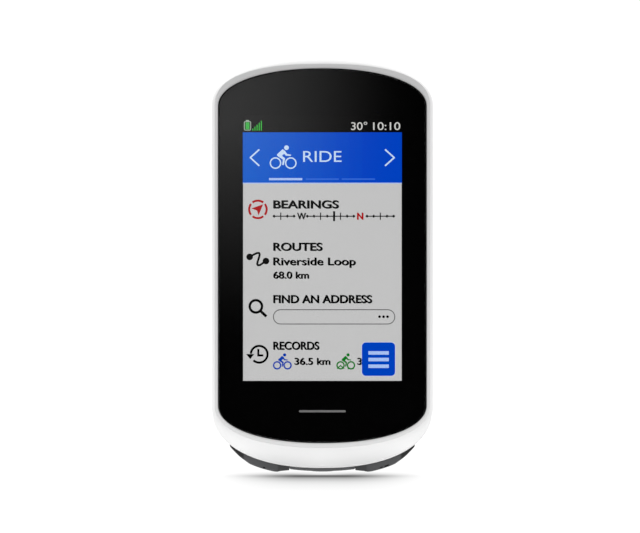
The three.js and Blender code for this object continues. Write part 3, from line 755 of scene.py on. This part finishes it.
def home_bar():
    """A plain printed bar below the screen, behind the glass."""
    y = lens_high.y
    bar = prism("home_bar", rounded_rectangle(12, 0.55, 0.27, 0, -37.4), y + 0.015, y + 0.04)
    return settle(bar, "root", "screen", PRINT)


# ---- keys and caps
def edge_drop(distance, radius):
    """How far a rounded edge has dropped, a distance inside the edge."""
    if distance >= radius:
        return 0.0
    inward = radius - max(0.0, distance)
    return radius - math.sqrt(max(0.0, radius * radius - inward * inward))


def dense_ends(start, end, count, edge):
    """Places from start to end, closer together near both ends."""
    return [mix(start, end, mix(share, 0.5 - 0.5 * math.cos(math.pi * share), edge))
            for share in evenly(0, 1, count)]


KEY_START = 8.58
KEY_END = 23.95
KEY_SOFT = 0.12
KEY_PROFILE = [(8.5, 0.46), (9.0, 0.56), (10.8, 1.04), (11.7, 1.43), (12.5, 1.54), (16, 1.65), (18.8, 1.7),
               (20.3, 1.38), (21.6, 1.15), (22.6, 0.84), (23.8, 0.52), (24.1, 0.42)]


def profile_at(points, x):
    """Height of a row of straight slopes at a place along it."""
    for (x0, h0), (x1, h1) in zip(points, points[1:]):
        if x <= x1:
            return mix(h0, h1, max(0.0, (x - x0) / (x1 - x0)))
    return points[-1][1]


def key_proud(across, y, y0, y1):
    """How far a bottom key stands out of the housing's skin: sloped ends and rounded edges."""
    proud = sum(profile_at(KEY_PROFILE, across + KEY_SOFT * step) for step in (-1, 0, 1)) / 3
    proud -= edge_drop(y - y0, 0.5) + edge_drop(y1 - y, 0.9)
    return proud - edge_drop(across - KEY_START, 0.05) - edge_drop(KEY_END - across, 0.15)


def bottom_key(side, name):
    """A key on the lower edge with its stem; its CAD node is the button of the same name."""
    node = name.replace("_key", "_button")
    low, high = limits(node)
    y0, y1 = low.y, high.y
    xs = dense_ends(side * KEY_START, side * KEY_END, 90, 0.4)
    ys = dense_ends(y0, y1, 34, 0.9)
    key = grid_solid(name, xs, ys, lambda x, y: rear_bottom(x, y) - key_proud(abs(x), y, y0, y1),
                     lambda x, y: rear_bottom(x, y, 0.8), 50)
    stem = [(0, -50.6), (1, -50.6), (1, -46.3), (0.9, -46.2), (0, -46.2)]
    cut(key, [lathe("stem", stem, "Z", (side * KEY_MIDDLE, KEY_DEPTH, 0))], "UNION")
    return settle(key, name, "key_rubber", KEY_RUBBER_PAINTED_SHADE, node)


def key_mark(name, x, width, height, body):
    """A small sign pressed into the front slope of a key."""
    low, high = limits("start_button")
    y = low.y + 0.16
    skin = rear_bottom(x, y) - key_proud(abs(x), y, low.y, high.y)
    tilt = (rear_bottom(x + 0.5, y) - rear_bottom(x - 0.5, y))
    outline = [(x + a, skin + 0.28 + b + a * tilt) for a, b in rounded_rectangle(width, height, 0.12)]
    mark = prism(name, outline, y - 0.19, y + 0.3)
    return settle(mark, body, "black_ink", INK)


DISH = 0.28


def power_key():
    """The side key: its outer face is a shallow dish with sloped sides."""
    low, high = limits("power_button")
    centre = middle("power_button")
    length, width = high.z - low.z, high.y - low.y
    pulls = [DISH * (1 - sine) for sine, _ in reversed(quarter(7))]
    profile = [(low.x + 0.6, 0.0)] + [(low.x + pull, pull) for pull in pulls]
    verts = []
    for x, pull in profile:
        ring = rounded_rectangle(length - 2 * pull, width - 2 * pull, width / 2 - pull - 0.001,
                                 centre.z, centre.y, 12)
        verts += [(x, b, a) for a, b in ring]
    count = len(verts) // len(profile)
    faces = [face for k in range(len(profile) - 1) for face in band(k * count, (k + 1) * count, count)]
    faces.append(tuple(range(count)))
    faces.append(tuple(len(verts) - 1 - i for i in range(count)))
    key = make("power_key", verts, faces)
    stem = [(0, low.x + 0.3), (0.9, low.x + 0.3), (0.9, -24.0), (0.8, -23.9), (0, -23.9)]
    cut(key, [lathe("stem", stem, "X", (0, POWER_STEM_DEPTH, centre.z))], "UNION")
    return settle(key, "power_key", "white_plastic", WHITE_KEY, "power_button")


CAP_HALF = 8.39


def port_cover():
    """The port's rubber cap: a skin with a small grip, and the hollow plug behind it."""
    x0 = CAP_HALF
    y0, y1 = cap_low.y, cap_high.y

    def outer(x, y):
        proud = CAP_PROUD - edge_drop(y - y0, 0.3) - edge_drop(y1 - y, 0.4) - edge_drop(x0 - abs(x), 0.1)
        grip = max(0.0, 1 - ((abs(x) / 3.2) ** 4 + (abs(y + 9.2) / 0.42) ** 2)) * 0.16
        return rear_bottom(x, y) - proud - grip

    cover = grid_solid("port_cover", dense_ends(-x0, x0, 70, 0.6), dense_ends(y0, y1, 44, 0.6), outer,
                       lambda x, y: rear_bottom(x, y, 0.85), 50)
    plug = prism("plug", rounded_rectangle(7.6, 1.9, 0.94, 0, PORT_DEPTH, 10), -52.5, -50.55, "Z")
    hollow = prism("hollow", rounded_rectangle(6.5, 0.8, 0.39, 0, PORT_DEPTH, 10), -52.2, -50, "Z")
    cut(plug, [hollow])
    cut(cover, [plug], "UNION")
    return settle(cover, "port_cover", "key_rubber", CAP_RUBBER, "weather_cap")


def cap_strap():
    """The rubber strap that holds the port cover, glued down at one end."""
    strap = grid_solid("cap_strap", evenly(-3.9, 3.9, 30), evenly(-5.3, -4.0, 19),
                       lambda x, y: rear_bottom(x, y, 0.2), lambda x, y: rear_bottom(x, y, 0.9), 50)
    strap.data.materials.append(CAP_RUBBER)
    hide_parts("cap_anchor")
    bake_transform(strap)


# ---- quarter-turn mount, contacts and screws
def rounded_profile(radius, low, high, edge, steps=5):
    """Half section of a disc with rounded rims, from its lower middle to its upper middle."""
    flat = radius - edge
    turn = quarter(steps, 1)
    lower = [(flat + edge * sine, low + edge * (1 - cosine)) for sine, cosine in turn]
    upper = [(flat + edge * cosine, high - edge + edge * sine) for sine, cosine in turn]
    return [(0, low), (flat, low)] + lower + upper + [(0, high)]


HUB_RADIUS = 12.5
TAB_REACH = 15.5
TAB_ROOT = 8
TAB_THICK = 1.6


def mount_insert():
    low, high = insert_low.y, insert_high.y
    hub = lathe("mount_insert", rounded_profile(HUB_RADIUS, low, high, 0.3), segments=120)
    tabs = []
    for facing in (0, 180):
        arc = [math.radians(facing - 30 + 60 * k / 24) for k in range(25)]
        outline = [(TAB_REACH * math.cos(a), TAB_REACH * math.sin(a)) for a in arc]
        outline += [(TAB_ROOT * math.cos(a), TAB_ROOT * math.sin(a)) for a in (arc[-1], arc[0])]
        tabs.append(prism("tab", outline, high - TAB_THICK, high))
    cut(hub, tabs, "UNION")
    recess = stepped(-5, (0.95, -1.5), (1.8, 2))
    slot = prism("slot", rounded_rectangle(14, 3.8, 0.3, 0, CONTACT_HEIGHT), -5, 2)
    cut(hub, [slot] + [lathe("recess", recess, centre=(x, 0, z)) for x, z in INSERT_SCREWS])
    soften(hub, 0.12, 2, 50)
    return settle(hub, "root", "dark_plastic", INSERT, "quarter_turn_insert")


def screw(name, node, head_radius, head_height, shank_radius, length):
    """A pan-head screw pointing forwards, with a six-sided drive."""
    x, _, z = middle(node)
    top = limits(node)[1].y
    seat = top - head_height
    profile = [(0, seat - length), (shank_radius * 0.6, seat - length), (shank_radius, seat - length + 0.4),
               (shank_radius, seat), (head_radius - 0.08, seat), (head_radius, seat + 0.08)]
    domed = [math.radians(a) for a in (20, 40, 60, 75)]
    profile += [(head_radius * math.cos(a) ** 0.5, seat + 0.08 + (head_height - 0.08) * math.sin(a))
                for a in domed]
    body = lathe(name, profile + [(0, top)], centre=(x, 0, z), segments=40)
    turns = [math.radians(60 * k) for k in range(6)]
    sides = [(x + head_radius * 0.5 * math.cos(a), z + head_radius * 0.5 * math.sin(a)) for a in turns]
    cut(body, [prism("drive", sides, seat + head_height * 0.35, top + 1)])
    return settle(body, "root", "screw_steel", STEEL, node)


def contact_pad(index):
    node = f"contact_pad_{index}"
    low, high = limits(node)
    x, _, z = middle(node)
    pad = lathe(f"pad_{index}", rounded_profile(0.9, low.y, high.y, 0.15), centre=(x, 0, z), segments=40)
    return settle(pad, "root", "contact_gold", GOLD, node)


def fasteners():
    for index in range(1, 7):
        screw(f"housing_screw_{index}", f"case_screw_{index}", 1.9, 1.4, 0.85, 6.8)
    for index in range(1, 5):
        screw(f"insert_screw_{index}", f"mount_screw_{index}", 1.65, 1.0, 0.8, 3.7)
    for index in range(1, 6):
        contact_pad(index)


front_shell()
rear_shell()
cover_lens()
lens_gasket()
border_ink()
home_bar()
bottom_key(1, "start_key")
bottom_key(-1, "lap_key")
key_mark("lap_mark", -15.1, 0.5, 0.32, "lap_key")
key_mark("start_mark", 15.3, 0.6, 0.32, "start_key")
key_mark("start_mark_bar", 16.7, 1.1, 0.34, "start_key")
power_key()
port_cover()
cap_strap()
mount_insert()
fasteners()


# ---- what the screen shows
COLUMNS = 240
CELL = SCREEN_WIDTH / COLUMNS
SCREEN_TOP = SCREEN_Z + SCREEN_HEIGHT / 2
SCREEN_LEFT = SCREEN_X - SCREEN_WIDTH / 2
LAYER = 0.012
SCREEN_FACE = panel_low.y - 0.01
CAPITAL = 0.729  # height of a capital in the built-in lettering, as a share of its size


class Drawing:
    """Marks of one colour on the screen, placed in display cells from its top left corner."""

    def __init__(self, layer):
        self.front = SCREEN_FACE - LAYER * (layer + 1)
        self.bm = bmesh.new()

    def place(self, u, v):
        return ((SCREEN_LEFT + u * CELL) * MM, self.front * MM, (SCREEN_TOP - v * CELL) * MM)

    def shape(self, points):
        """A filled outline, given thickness towards the panel."""
        face = self.bm.faces.new([self.bm.verts.new(self.place(u, v)) for u, v in points])
        made = bmesh.ops.extrude_face_region(self.bm, geom=[face])
        back = [g for g in made["geom"] if isinstance(g, bmesh.types.BMVert)]
        bmesh.ops.translate(self.bm, verts=back, vec=(0, LAYER * 0.7 * MM, 0))

    def box(self, u0, v0, u1, v1, radius=0.0):
        if radius:
            points = rounded_rectangle(u1 - u0, v1 - v0, radius, (u0 + u1) / 2, (v0 + v1) / 2)
        else:
            points = [(u0, v0), (u1, v0), (u1, v1), (u0, v1)]
        self.shape(points)

    def disc(self, u, v, radius, steps=24):
        arc = [math.radians(360 * k / steps) for k in range(steps)]
        self.shape([(u + radius * math.cos(a), v + radius * math.sin(a)) for a in arc])

    def ring(self, u, v, radius, width, start=0.0, end=360.0, steps=32):
        """A ring or an arc; angles turn clockwise from the right."""
        angles = [math.radians(mix(start, end, k / steps)) for k in range(steps + 1)]
        for a, b in zip(angles, angles[1:]):
            self.shape([(u + r * math.cos(t), v + r * math.sin(t))
                        for r, t in ((radius - width / 2, a), (radius + width / 2, a),
                                     (radius + width / 2, b), (radius - width / 2, b))])

    def line(self, points, width, round_ends=False):
        for (u0, v0), (u1, v1) in zip(points, points[1:]):
            length = math.hypot(u1 - u0, v1 - v0)
            du, dv = -(v1 - v0) / length * width / 2, (u1 - u0) / length * width / 2
            self.shape([(u0 + du, v0 + dv), (u1 + du, v1 + dv), (u1 - du, v1 - dv), (u0 - du, v0 - dv)])
        inner = points if round_ends else points[1:-1]
        for u, v in inner:
            self.disc(u, v, width / 2, steps=12)

    def words(self, text, u, v, width, height, weight=0.0, bold=0.0):
        """Lettering with its lower left corner at u, v, fitted to a width and a capital height.

        Bold lettering is drawn twice, a little apart.
        """
        for shift in (-bold, bold) if bold else (0.0,):
            self.letters(text, u + shift, v + shift / 2, width, height, weight)

    def letters(self, text, u, v, width, height, weight):
        curve = bpy.data.curves.new("words", "FONT")
        curve.body = text
        curve.offset = weight
        obj = new_object("words", curve)
        graph = bpy.context.evaluated_depsgraph_get()
        mesh = bpy.data.meshes.new_from_object(obj.evaluated_get(graph))
        xs = [p.co.x for p in mesh.vertices]
        stretch = width * CELL * MM / (max(xs) - min(xs))
        tall = height * CELL * MM / CAPITAL
        x, y, z = self.place(u, v)
        mesh.transform(Matrix(((stretch, 0, 0, x - min(xs) * stretch), (0, 0, 1, y), (0, tall, 0, z),
                               (0, 0, 0, 1))))
        self.bm.from_mesh(mesh)
        bpy.data.objects.remove(obj)
        bpy.data.curves.remove(curve)
        bpy.data.meshes.remove(mesh)

    def finish(self, name, material):
        mesh = bpy.data.meshes.new(name)
        bmesh.ops.recalc_face_normals(self.bm, faces=self.bm.faces)
        self.bm.to_mesh(mesh)
        self.bm.free()
        return settle(new_object(name, mesh), "root", "screen", material)


LIT_GREY = lit("lit_grey", (0.59, 0.59, 0.59))
LIT_BLACK = lit("unlit_black", (0.004, 0.004, 0.004), 0.2)
# The screen's drawings in the order they are made, each with its layer and its colour.
PENS = {
    "sheet": (1, LIT_GREY),
    "battery": (3, LIT_BLACK),
    "signal": (4, lit("lit_signal_green", (0.05, 0.72, 0.07))),
    "black": (2, LIT_BLACK),
    "red": (2, lit("lit_red", (0.42, 0.006, 0.008))),
    "green": (2, lit("lit_green", (0.008, 0.19, 0.018))),
    "blue_mark": (2, lit("lit_deep_blue", (0.004, 0.05, 0.42))),
    "battery_rim": (2, lit("lit_pale_green", (0.36, 0.45, 0.37))),
    "field_rim": (2, lit("lit_line_grey", (0.10, 0.10, 0.10))),
    "scale": (2, lit("lit_dark_grey", (0.012, 0.012, 0.012))),
    "white": (3, lit("lit_white", (0.60, 0.76, 0.98))),
    "faint": (3, lit("lit_faint_blue", (0.035, 0.15, 0.72))),
    "field": (3, LIT_GREY),
    "charge": (4, lit("lit_charge_green", (0.05, 0.45, 0.07))),
    "button": (3, lit("lit_blue", (0.0, 0.056, 0.53))),
    "bars": (4, lit("lit_pale_blue", (0.42, 0.57, 0.95))),
    "dots": (4, LIT_BLACK),
    "clock": (4, lit("lit_soft_white", (0.66, 0.66, 0.64))),
    "button_rim": (2, lit("lit_halo_blue", (0.62, 0.69, 0.88))),
}

HEADER_TOP = 25
HEADER_END = 101
HEADER_STRIPS = 12
HEADER_LAYER = 2
# Painted reflection: the header's left end is paler, in place of the glass's sheen over the screen's top
# left.
HEADER_LEFT_PAINTED_SHEEN = (0.0, 0.110, 0.61)
HEADER_RIGHT = (0.0, 0.057, 0.565)
ROW_LEFT = 46.3
SCALE_START = 47.2
SCALE_PITCH = 10.02

# A rider's body, its first wheel's centre and the distance to the second, in display cells.
RIDER_BODY = [(60.1, 50.4), (63.7, 53.0), (66.7, 57.6), (72.9, 58.7), (72.6, 60.7), (65.0, 60.3),
              (62.4, 57.3), (59.0, 60.3), (63.9, 64.4), (61.8, 74.6), (59.3, 74.2), (60.4, 66.2),
              (51.7, 60.3), (51.7, 58.2)]
RIDER_WHEEL = (49.3, 71.4)
WHEEL_PITCH = 23.1
ROUTE_PATH = [(10.3, 213.0), (17, 209.2), (21.5, 207.1), (24.3, 207.0), (25.5, 209.2), (24.6, 213.5),
              (22.6, 219.5), (21.7, 223.6), (22.9, 225.7), (26, 225.3), (34.9, 219.2)]


def rider(drawing, u, v, scale, rim=2.0):
    """A plain cyclist mark; u, v is the centre of its rear wheel."""
    for shift in (0.0, WHEEL_PITCH):
        drawing.ring(u + shift * scale, v, 7.8 * scale, rim * scale)
    drawing.disc(u + 16.6 * scale, v - 23.2 * scale, 3.6 * scale)
    wheel_u, wheel_v = RIDER_WHEEL
    drawing.shape([(u + (a - wheel_u) * scale, v + (b - wheel_v) * scale) for a, b in RIDER_BODY])


def heading(pens, text, v, width):
    pens.black.words(text, ROW_LEFT, v, width, 12.2, 0.022, 0.46)


def detail(pens, text, u, v, width, height):
    pens.black.words(text, u, v, width, height, 0.014, 0.52)


def status_bar(pens):
    pens.battery_rim.box(4.6, 6.4, 9.4, 8.6, 0.8)
    pens.battery_rim.box(1.7, 8.2, 12.4, 22.3, 2.0)
    pens.battery.box(3.0, 9.3, 11.1, 21.2, 1.0)
    pens.charge.box(4.2, 9.9, 10.0, 20.7, 0.5)
    for k in range(5):
        pens.signal.box(14.6 + 3.2 * k, 22.3 - 2.9 * (k + 1), 15.7 + 3.2 * k, 22.3)
    pens.clock.words("30°", 163.3, 21.4, 24.4, 12.2, 0.003)
    pens.clock.words("10:10", 196.6, 21.4, 41.0, 12.2, 0.003)


def header_ground():
    """The header's blue with a painted reflection: a little paler towards the left, in plain upright strips.
    """
    for k in range(HEADER_STRIPS):
        share = min(1.0, k / (HEADER_STRIPS - 3))
        color = [mix(a, b, share) for a, b in zip(HEADER_LEFT_PAINTED_SHEEN, HEADER_RIGHT)]
        strip = Drawing(HEADER_LAYER)
        strip.box(COLUMNS * k / HEADER_STRIPS, HEADER_TOP, COLUMNS * (k + 1) / HEADER_STRIPS, HEADER_END)
        strip.finish(f"screen_header_{k + 1}", lit(f"lit_header_{k + 1}", color))


def header(pens):
    pens.white.line([(24.9, 50.8), (11.4, 63.2), (24.9, 75.6)], 2.3)
    pens.white.line([(214.6, 50.8), (228.4, 63.2), (214.6, 75.6)], 2.3)
    rider(pens.white, *RIDER_WHEEL, 1.0)
    pens.white.words("RIDE", 91, 69.6, 58, 17.4, 0.0)
    pens.bars.box(39.6, 94, 89.7, 97.3)
    pens.faint.box(95, 94.6, 144.8, 96.6)
    pens.faint.box(149.3, 94.6, 199.5, 96.6)
    pens.bars.box(0, HEADER_END, COLUMNS, 102.3)


def compass_row(pens):
    for start in (-38, 52, 142, 232):
        pens.red.ring(22.8, 141.3, 13.2, 3.2, start, start + 76, 12)
    pens.red.shape([(30.6, 133.6), (23.8, 150.4), (21.5, 143.2), (12.9, 139.9)])
    heading(pens, "BEARINGS", 139.6, 98.5)
    for start, end in ((SCALE_START, 77.5), (97.3, 167.5), (187.6, 227.6)):
        pens.scale.box(start, 150.8, end, 152.4)
    for k in range(19):
        u = SCALE_START + SCALE_PITCH * k
        if k in (1, 7, 10, 16):
            pens.scale.box(u - 0.8, 146.1, u + 0.8, 157.2)
        elif k not in (4, 13):
            pens.scale.shape([(u - 2.6, 151.6), (u, 149.0), (u + 2.6, 151.6), (u, 154.2)])
    pens.black.box(136.2, 144.1, 139.3, 159.1)
    pens.black.words("W", 82.2, 156.6, 13.0, 10.8, 0.0, 0.55)
    pens.red.words("N", 172.7, 156.6, 8.9, 10.6, 0.022, 0.45)


def route_row(pens):
    for u, v in (ROUTE_PATH[0], ROUTE_PATH[-1]):
        pens.black.disc(u, v, 5.0)
    pens.black.line(ROUTE_PATH, 3.1, True)
    heading(pens, "ROUTES", 203.5, 74)
    detail(pens, "Riverside Loop", ROW_LEFT, 225.5, 124, 12.0)
    detail(pens, "68.0 km", ROW_LEFT, 245.6, 53.4, 10.8)


def search_row(pens):
    pens.black.ring(19.7, 287.6, 9.3, 3.8)
    pens.black.line([(26.3, 294.2), (35.6, 302.9)], 4.2)
    heading(pens, "FIND AN ADDRESS", 282.5, 148.7)
    pens.field_rim.box(45.5, 292, 230, 314.9, 11.4)
    pens.field.box(46.8, 293.3, 228.7, 313.6, 10.1)
    for u in (206.3, 212.4, 218.4):
        pens.dots.disc(u, 303.2, 2.1, steps=12)


def log_row(pens):
    pens.black.ring(24.7, 359.9, 12.6, 3.4, -176, 134, 40)
    pens.black.shape([(4.9, 359.6), (17.3, 359.6), (11.2, 367.2)])
    pens.black.box(21.8, 351.8, 24.9, 363.2)
    pens.black.box(21.8, 360.1, 31.0, 363.2)
    heading(pens, "RECORDS", 352.8, 69)
    rider(pens.blue_mark, 51.8, 376.6, 0.68, 3.2)
    detail(pens, "36.5 km", 78.3, 375.7, 53.6, 10.7)
    rider(pens.green, 147.5, 376.6, 0.68, 3.2)
    pens.green.line([(142.0, 381.6), (147.5, 377.0), (153.0, 381.6)], 1.6)
    pens.green.box(158.0, 380.8, 167.6, 382.4)
    detail(pens, "3", 173, 375.7, 6.8, 10.7)


def menu_button(pens):
    pens.button_rim.box(178.9, 341.2, 230.6, 393.3, 6.6)
    pens.button.box(179.7, 342.0, 229.8, 392.5, 6)
    for v in (355.2, 365.2, 375.3):
        pens.bars.box(189.5, v, 220.3, v + 5.3)


def draw_screen():
    panel = Drawing(0)
    panel.box(-0.8, -0.8, COLUMNS + 0.8, 400.8)
    pens = SimpleNamespace(**{name: Drawing(layer) for name, (layer, _) in PENS.items()})
    pens.sheet.box(0.4, HEADER_END, 239.7, 400)
    status_bar(pens)
    header_ground()
    header(pens)
    for row in (compass_row, route_row, search_row, log_row, menu_button):
        row(pens)
    ground = panel.finish("screen_panel", LIT_BLACK)
    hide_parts("display_panel")
    for name, drawing in vars(pens).items():
        drawing.finish(f"screen_{name}", PENS[name][1])


draw_screen()


# ---- CAD nodes that keep their own shape
FINISHES = [
    (INSERT, "contact_block"),
    (SEAL, "housing_seal lap_key_seal start_key_seal power_key_seal mount_gasket battery_pad"),
    (SEAL, "lap_plunger start_plunger power_plunger"),
    (TOUCH_FILM, "touch_sensor"), (FOIL, "display_backlight battery_cell"), (SHEET, "mid_frame"),
    (FLEX, "display_flex battery_lead radio_antenna"), (BOARD, "main_board"),
    (TINNED, "shield_can_front shield_can_rear charging_receptacle"), (CERAMIC, "satellite_antenna"),
    (RESIN, "receptacle_tongue beeper lap_switch start_switch power_switch"), (MEMBRANE, "pressure_vent"),
    (STEEL, "board_screw_1 board_screw_2 board_screw_3 board_screw_4"),
]
for finish, names in FINISHES:
    for name in names.split():
        for material_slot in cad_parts[name].material_slots:
            material_slot.material = finish


# ---- floor, light and camera
FLOOR_GAP = 1.45
CAMERA_AWAY = 700.0
CAMERA_SHIFT = -0.6
CAMERA_HEIGHT = -0.3
VIEW_WIDTH = 163.8
SENSOR = 36.0


FLOOR_SIDE = 90.0
FLOOR_FRONT = -80.0
FLOOR_BACK = 60.0


def make_floor():
    """A white table top, small enough that the lens doesn't mirror it."""
    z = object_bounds()[0].z / MM - FLOOR_GAP
    floor = make("floor", [(-FLOOR_SIDE, FLOOR_FRONT, z), (FLOOR_SIDE, FLOOR_FRONT, z),
                           (FLOOR_SIDE, FLOOR_BACK, z), (-FLOOR_SIDE, FLOOR_BACK, z)], [(0, 1, 2, 3)])
    floor.data.materials.append(table_material())
    floor.visible_shadow = False


SHADE_REACH = (-60.0, 20.0)
SHADE_DEPTHS = [(-60, 0.0), (-50, 0.06), (-35, 0.14), (-25.4, 0.25), (-19, 0.39), (-15.7, 0.46),
                (-12.4, 0.58), (-9, 0.75), (-5.7, 0.90), (-2.2, 0.75), (1.2, 0.38), (4.7, 0.25),
                (8, 0.12), (14, 0.0)]
SHADE_SIDE = (29.5, 5.0)
SHADE_MIDDLE = (-0.35, 0.18)
TABLE_WHITE = (1.05, 1.05, 1.05, 1)


def table_material():
    """A glowing white table top with a soft shade under the object, darkest below its middle."""
    material, tree, output = bare_material("white_table")
    place = tree.axes()
    start, end = SHADE_REACH
    along = tree.ranged(place["Y"], start * MM, end * MM, 0.0, 1.0)
    stops = [((depth - start) / (end - start), (share,) * 3) for depth, share in SHADE_DEPTHS]
    painted_shade = tree.ramp(along, stops)
    across = tree.maths("ABSOLUTE", place["X"], 0.0)
    side = tree.ranged(across, SHADE_SIDE[0] * MM, SHADE_SIDE[1] * MM, 0.0, 1.0, True)
    behind = tree.ranged(place["Y"], -0.003, 0.001, 0.0, 1.0)
    lobes = tree.product(tree.ranged(across, 0.001, 0.008, *SHADE_MIDDLE), behind)
    shaded = tree.product(painted_shade, side, tree.maths("ADD", lobes, 1.0))
    glow = tree.node("Emission", {"Color": TABLE_WHITE, "Strength": tree.maths("SUBTRACT", 1.0, shaded)})
    tree.feed(output, {"Surface": glow.outputs[0]})
    return material


def area_light(name, place, size, power, aim=(0, 0, 0)):
    data = bpy.data.lights.new(name, "AREA")
    data.shape = "SQUARE"
    data.size = size
    data.energy = power
    light = new_object(name, data)
    light.location = Vector(place)
    light.rotation_euler = (Vector(aim) - Vector(place)).to_track_quat("-Z", "Y").to_euler()
    return light


CARD_AWAY = 600.0
CARD_WIDTH = 150.0
CARD_HEIGHT = 260.0
CARD_GLOW = 0.45


def card_material():
    material, tree, output = bare_material("graded_card")
    place = tree.axes()
    across = tree.ranged(place["X"], 0.052, -0.047, 0.0, 1.0, True)
    upward = tree.ranged(place["Z"], -0.045, 0.067, 0.0, 1.0)
    glow = tree.product(tree.maths("POWER", across, 1.4), tree.maths("POWER", upward, 2.05), CARD_GLOW)
    tree.feed(output, {"Surface": tree.node("Emission", {"Strength": glow}).outputs[0]})
    return material


def reflection_card():
    """A graded card that only mirrors see, bright at its upper left and black at its lower right."""
    y = lens_low.y - CARD_AWAY
    right, up = CARD_WIDTH / 2, CARD_HEIGHT / 2
    card = make("card", [(-right, y, -up), (right, y, -up), (right, y, up), (-right, y, up)], [(0, 1, 2, 3)])
    card.data.materials.append(card_material())
    card.visible_camera = False
    card.visible_diffuse = False
    card.visible_shadow = False
    card.visible_transmission = False


FRONT_GLOW = 0.69
BACK_GLOW = 1.27
SIDE_GAIN = (0.95, 1.55)
LOBE_GAIN = (0.85, 1.35)
SKY_GAIN = 0.35
GROUND_LOSS = 0.75
LEFT_GAIN = 0.05


def make_world():
    """A white cove: dimmer towards the camera, brighter behind and above; the camera sees plain white."""
    world = bpy.data.worlds.new("studio")
    tree = Tree(world)
    place = tree.axes("Generated")
    wide, tall = [tree.product(place[axis], place[axis]) for axis in "XZ"]
    lobe = tree.maths("POWER", tree.maths("SUBTRACT", wide, tall), 2.0)
    glow = tree.product(
        tree.ranged(place["Y"], -1.0, 1.0, FRONT_GLOW, BACK_GLOW),
        tree.ranged(place["Z"], -1.0, 1.0, 1.0 - GROUND_LOSS, 1.0 + SKY_GAIN),
        tree.ranged(place["X"], 1.0, -1.0, 1.0 - LEFT_GAIN, 1.0 + LEFT_GAIN),
        tree.ranged(wide, 0.0, 1.0, *SIDE_GAIN), tree.ranged(lobe, 0.0, 1.0, *LOBE_GAIN))
    cove = tree.nodes["Background"]
    tree.feed(cove, {"Color": (1, 1, 1, 1), "Strength": glow})
    seen = tree.node("Background", {"Color": (1.1, 1.1, 1.1, 1)})
    camera_ray = tree.node("LightPath").outputs["Is Camera Ray"]
    lighting = tree.mixed(camera_ray, cove.outputs[0], seen.outputs[0])
    tree.feed(tree.nodes["World Output"], {"Surface": lighting})
    bpy.context.scene.world = world


def make_camera():
    data = bpy.data.cameras.new("camera")
    data.sensor_width = SENSOR
    data.lens = SENSOR * CAMERA_AWAY / VIEW_WIDTH
    data.clip_start = 0.01
    camera = new_object("camera", data)
    camera.location = Vector((CAMERA_SHIFT, lens_low.y - CAMERA_AWAY, CAMERA_HEIGHT)) * MM
    camera.rotation_euler = (math.radians(90), 0, 0)
    bpy.context.scene.camera = camera


# Sizes of the lights in metres, and their powers in watts.
TOP_SIZE = 0.7
TOP_POWER = 0.6
STRIP_WIDTH = 0.044
STRIP_DEPTH = 0.004
STRIP_POWER = 0.0032

make_camera()
make_world()
make_floor()
reflection_card()
area_light("top", (-0.05, 0.12, 0.9), TOP_SIZE, TOP_POWER)
low_strip = area_light("low_strip", (0, -0.014, -0.0575), STRIP_WIDTH, STRIP_POWER, (0, -0.0125, -0.05))
low_strip.data.shape = "RECTANGLE"
low_strip.data.size_y = STRIP_DEPTH
low_strip.visible_camera = False
low_strip.visible_glossy = False
bpy.context.scene.view_settings.view_transform = "Standard"
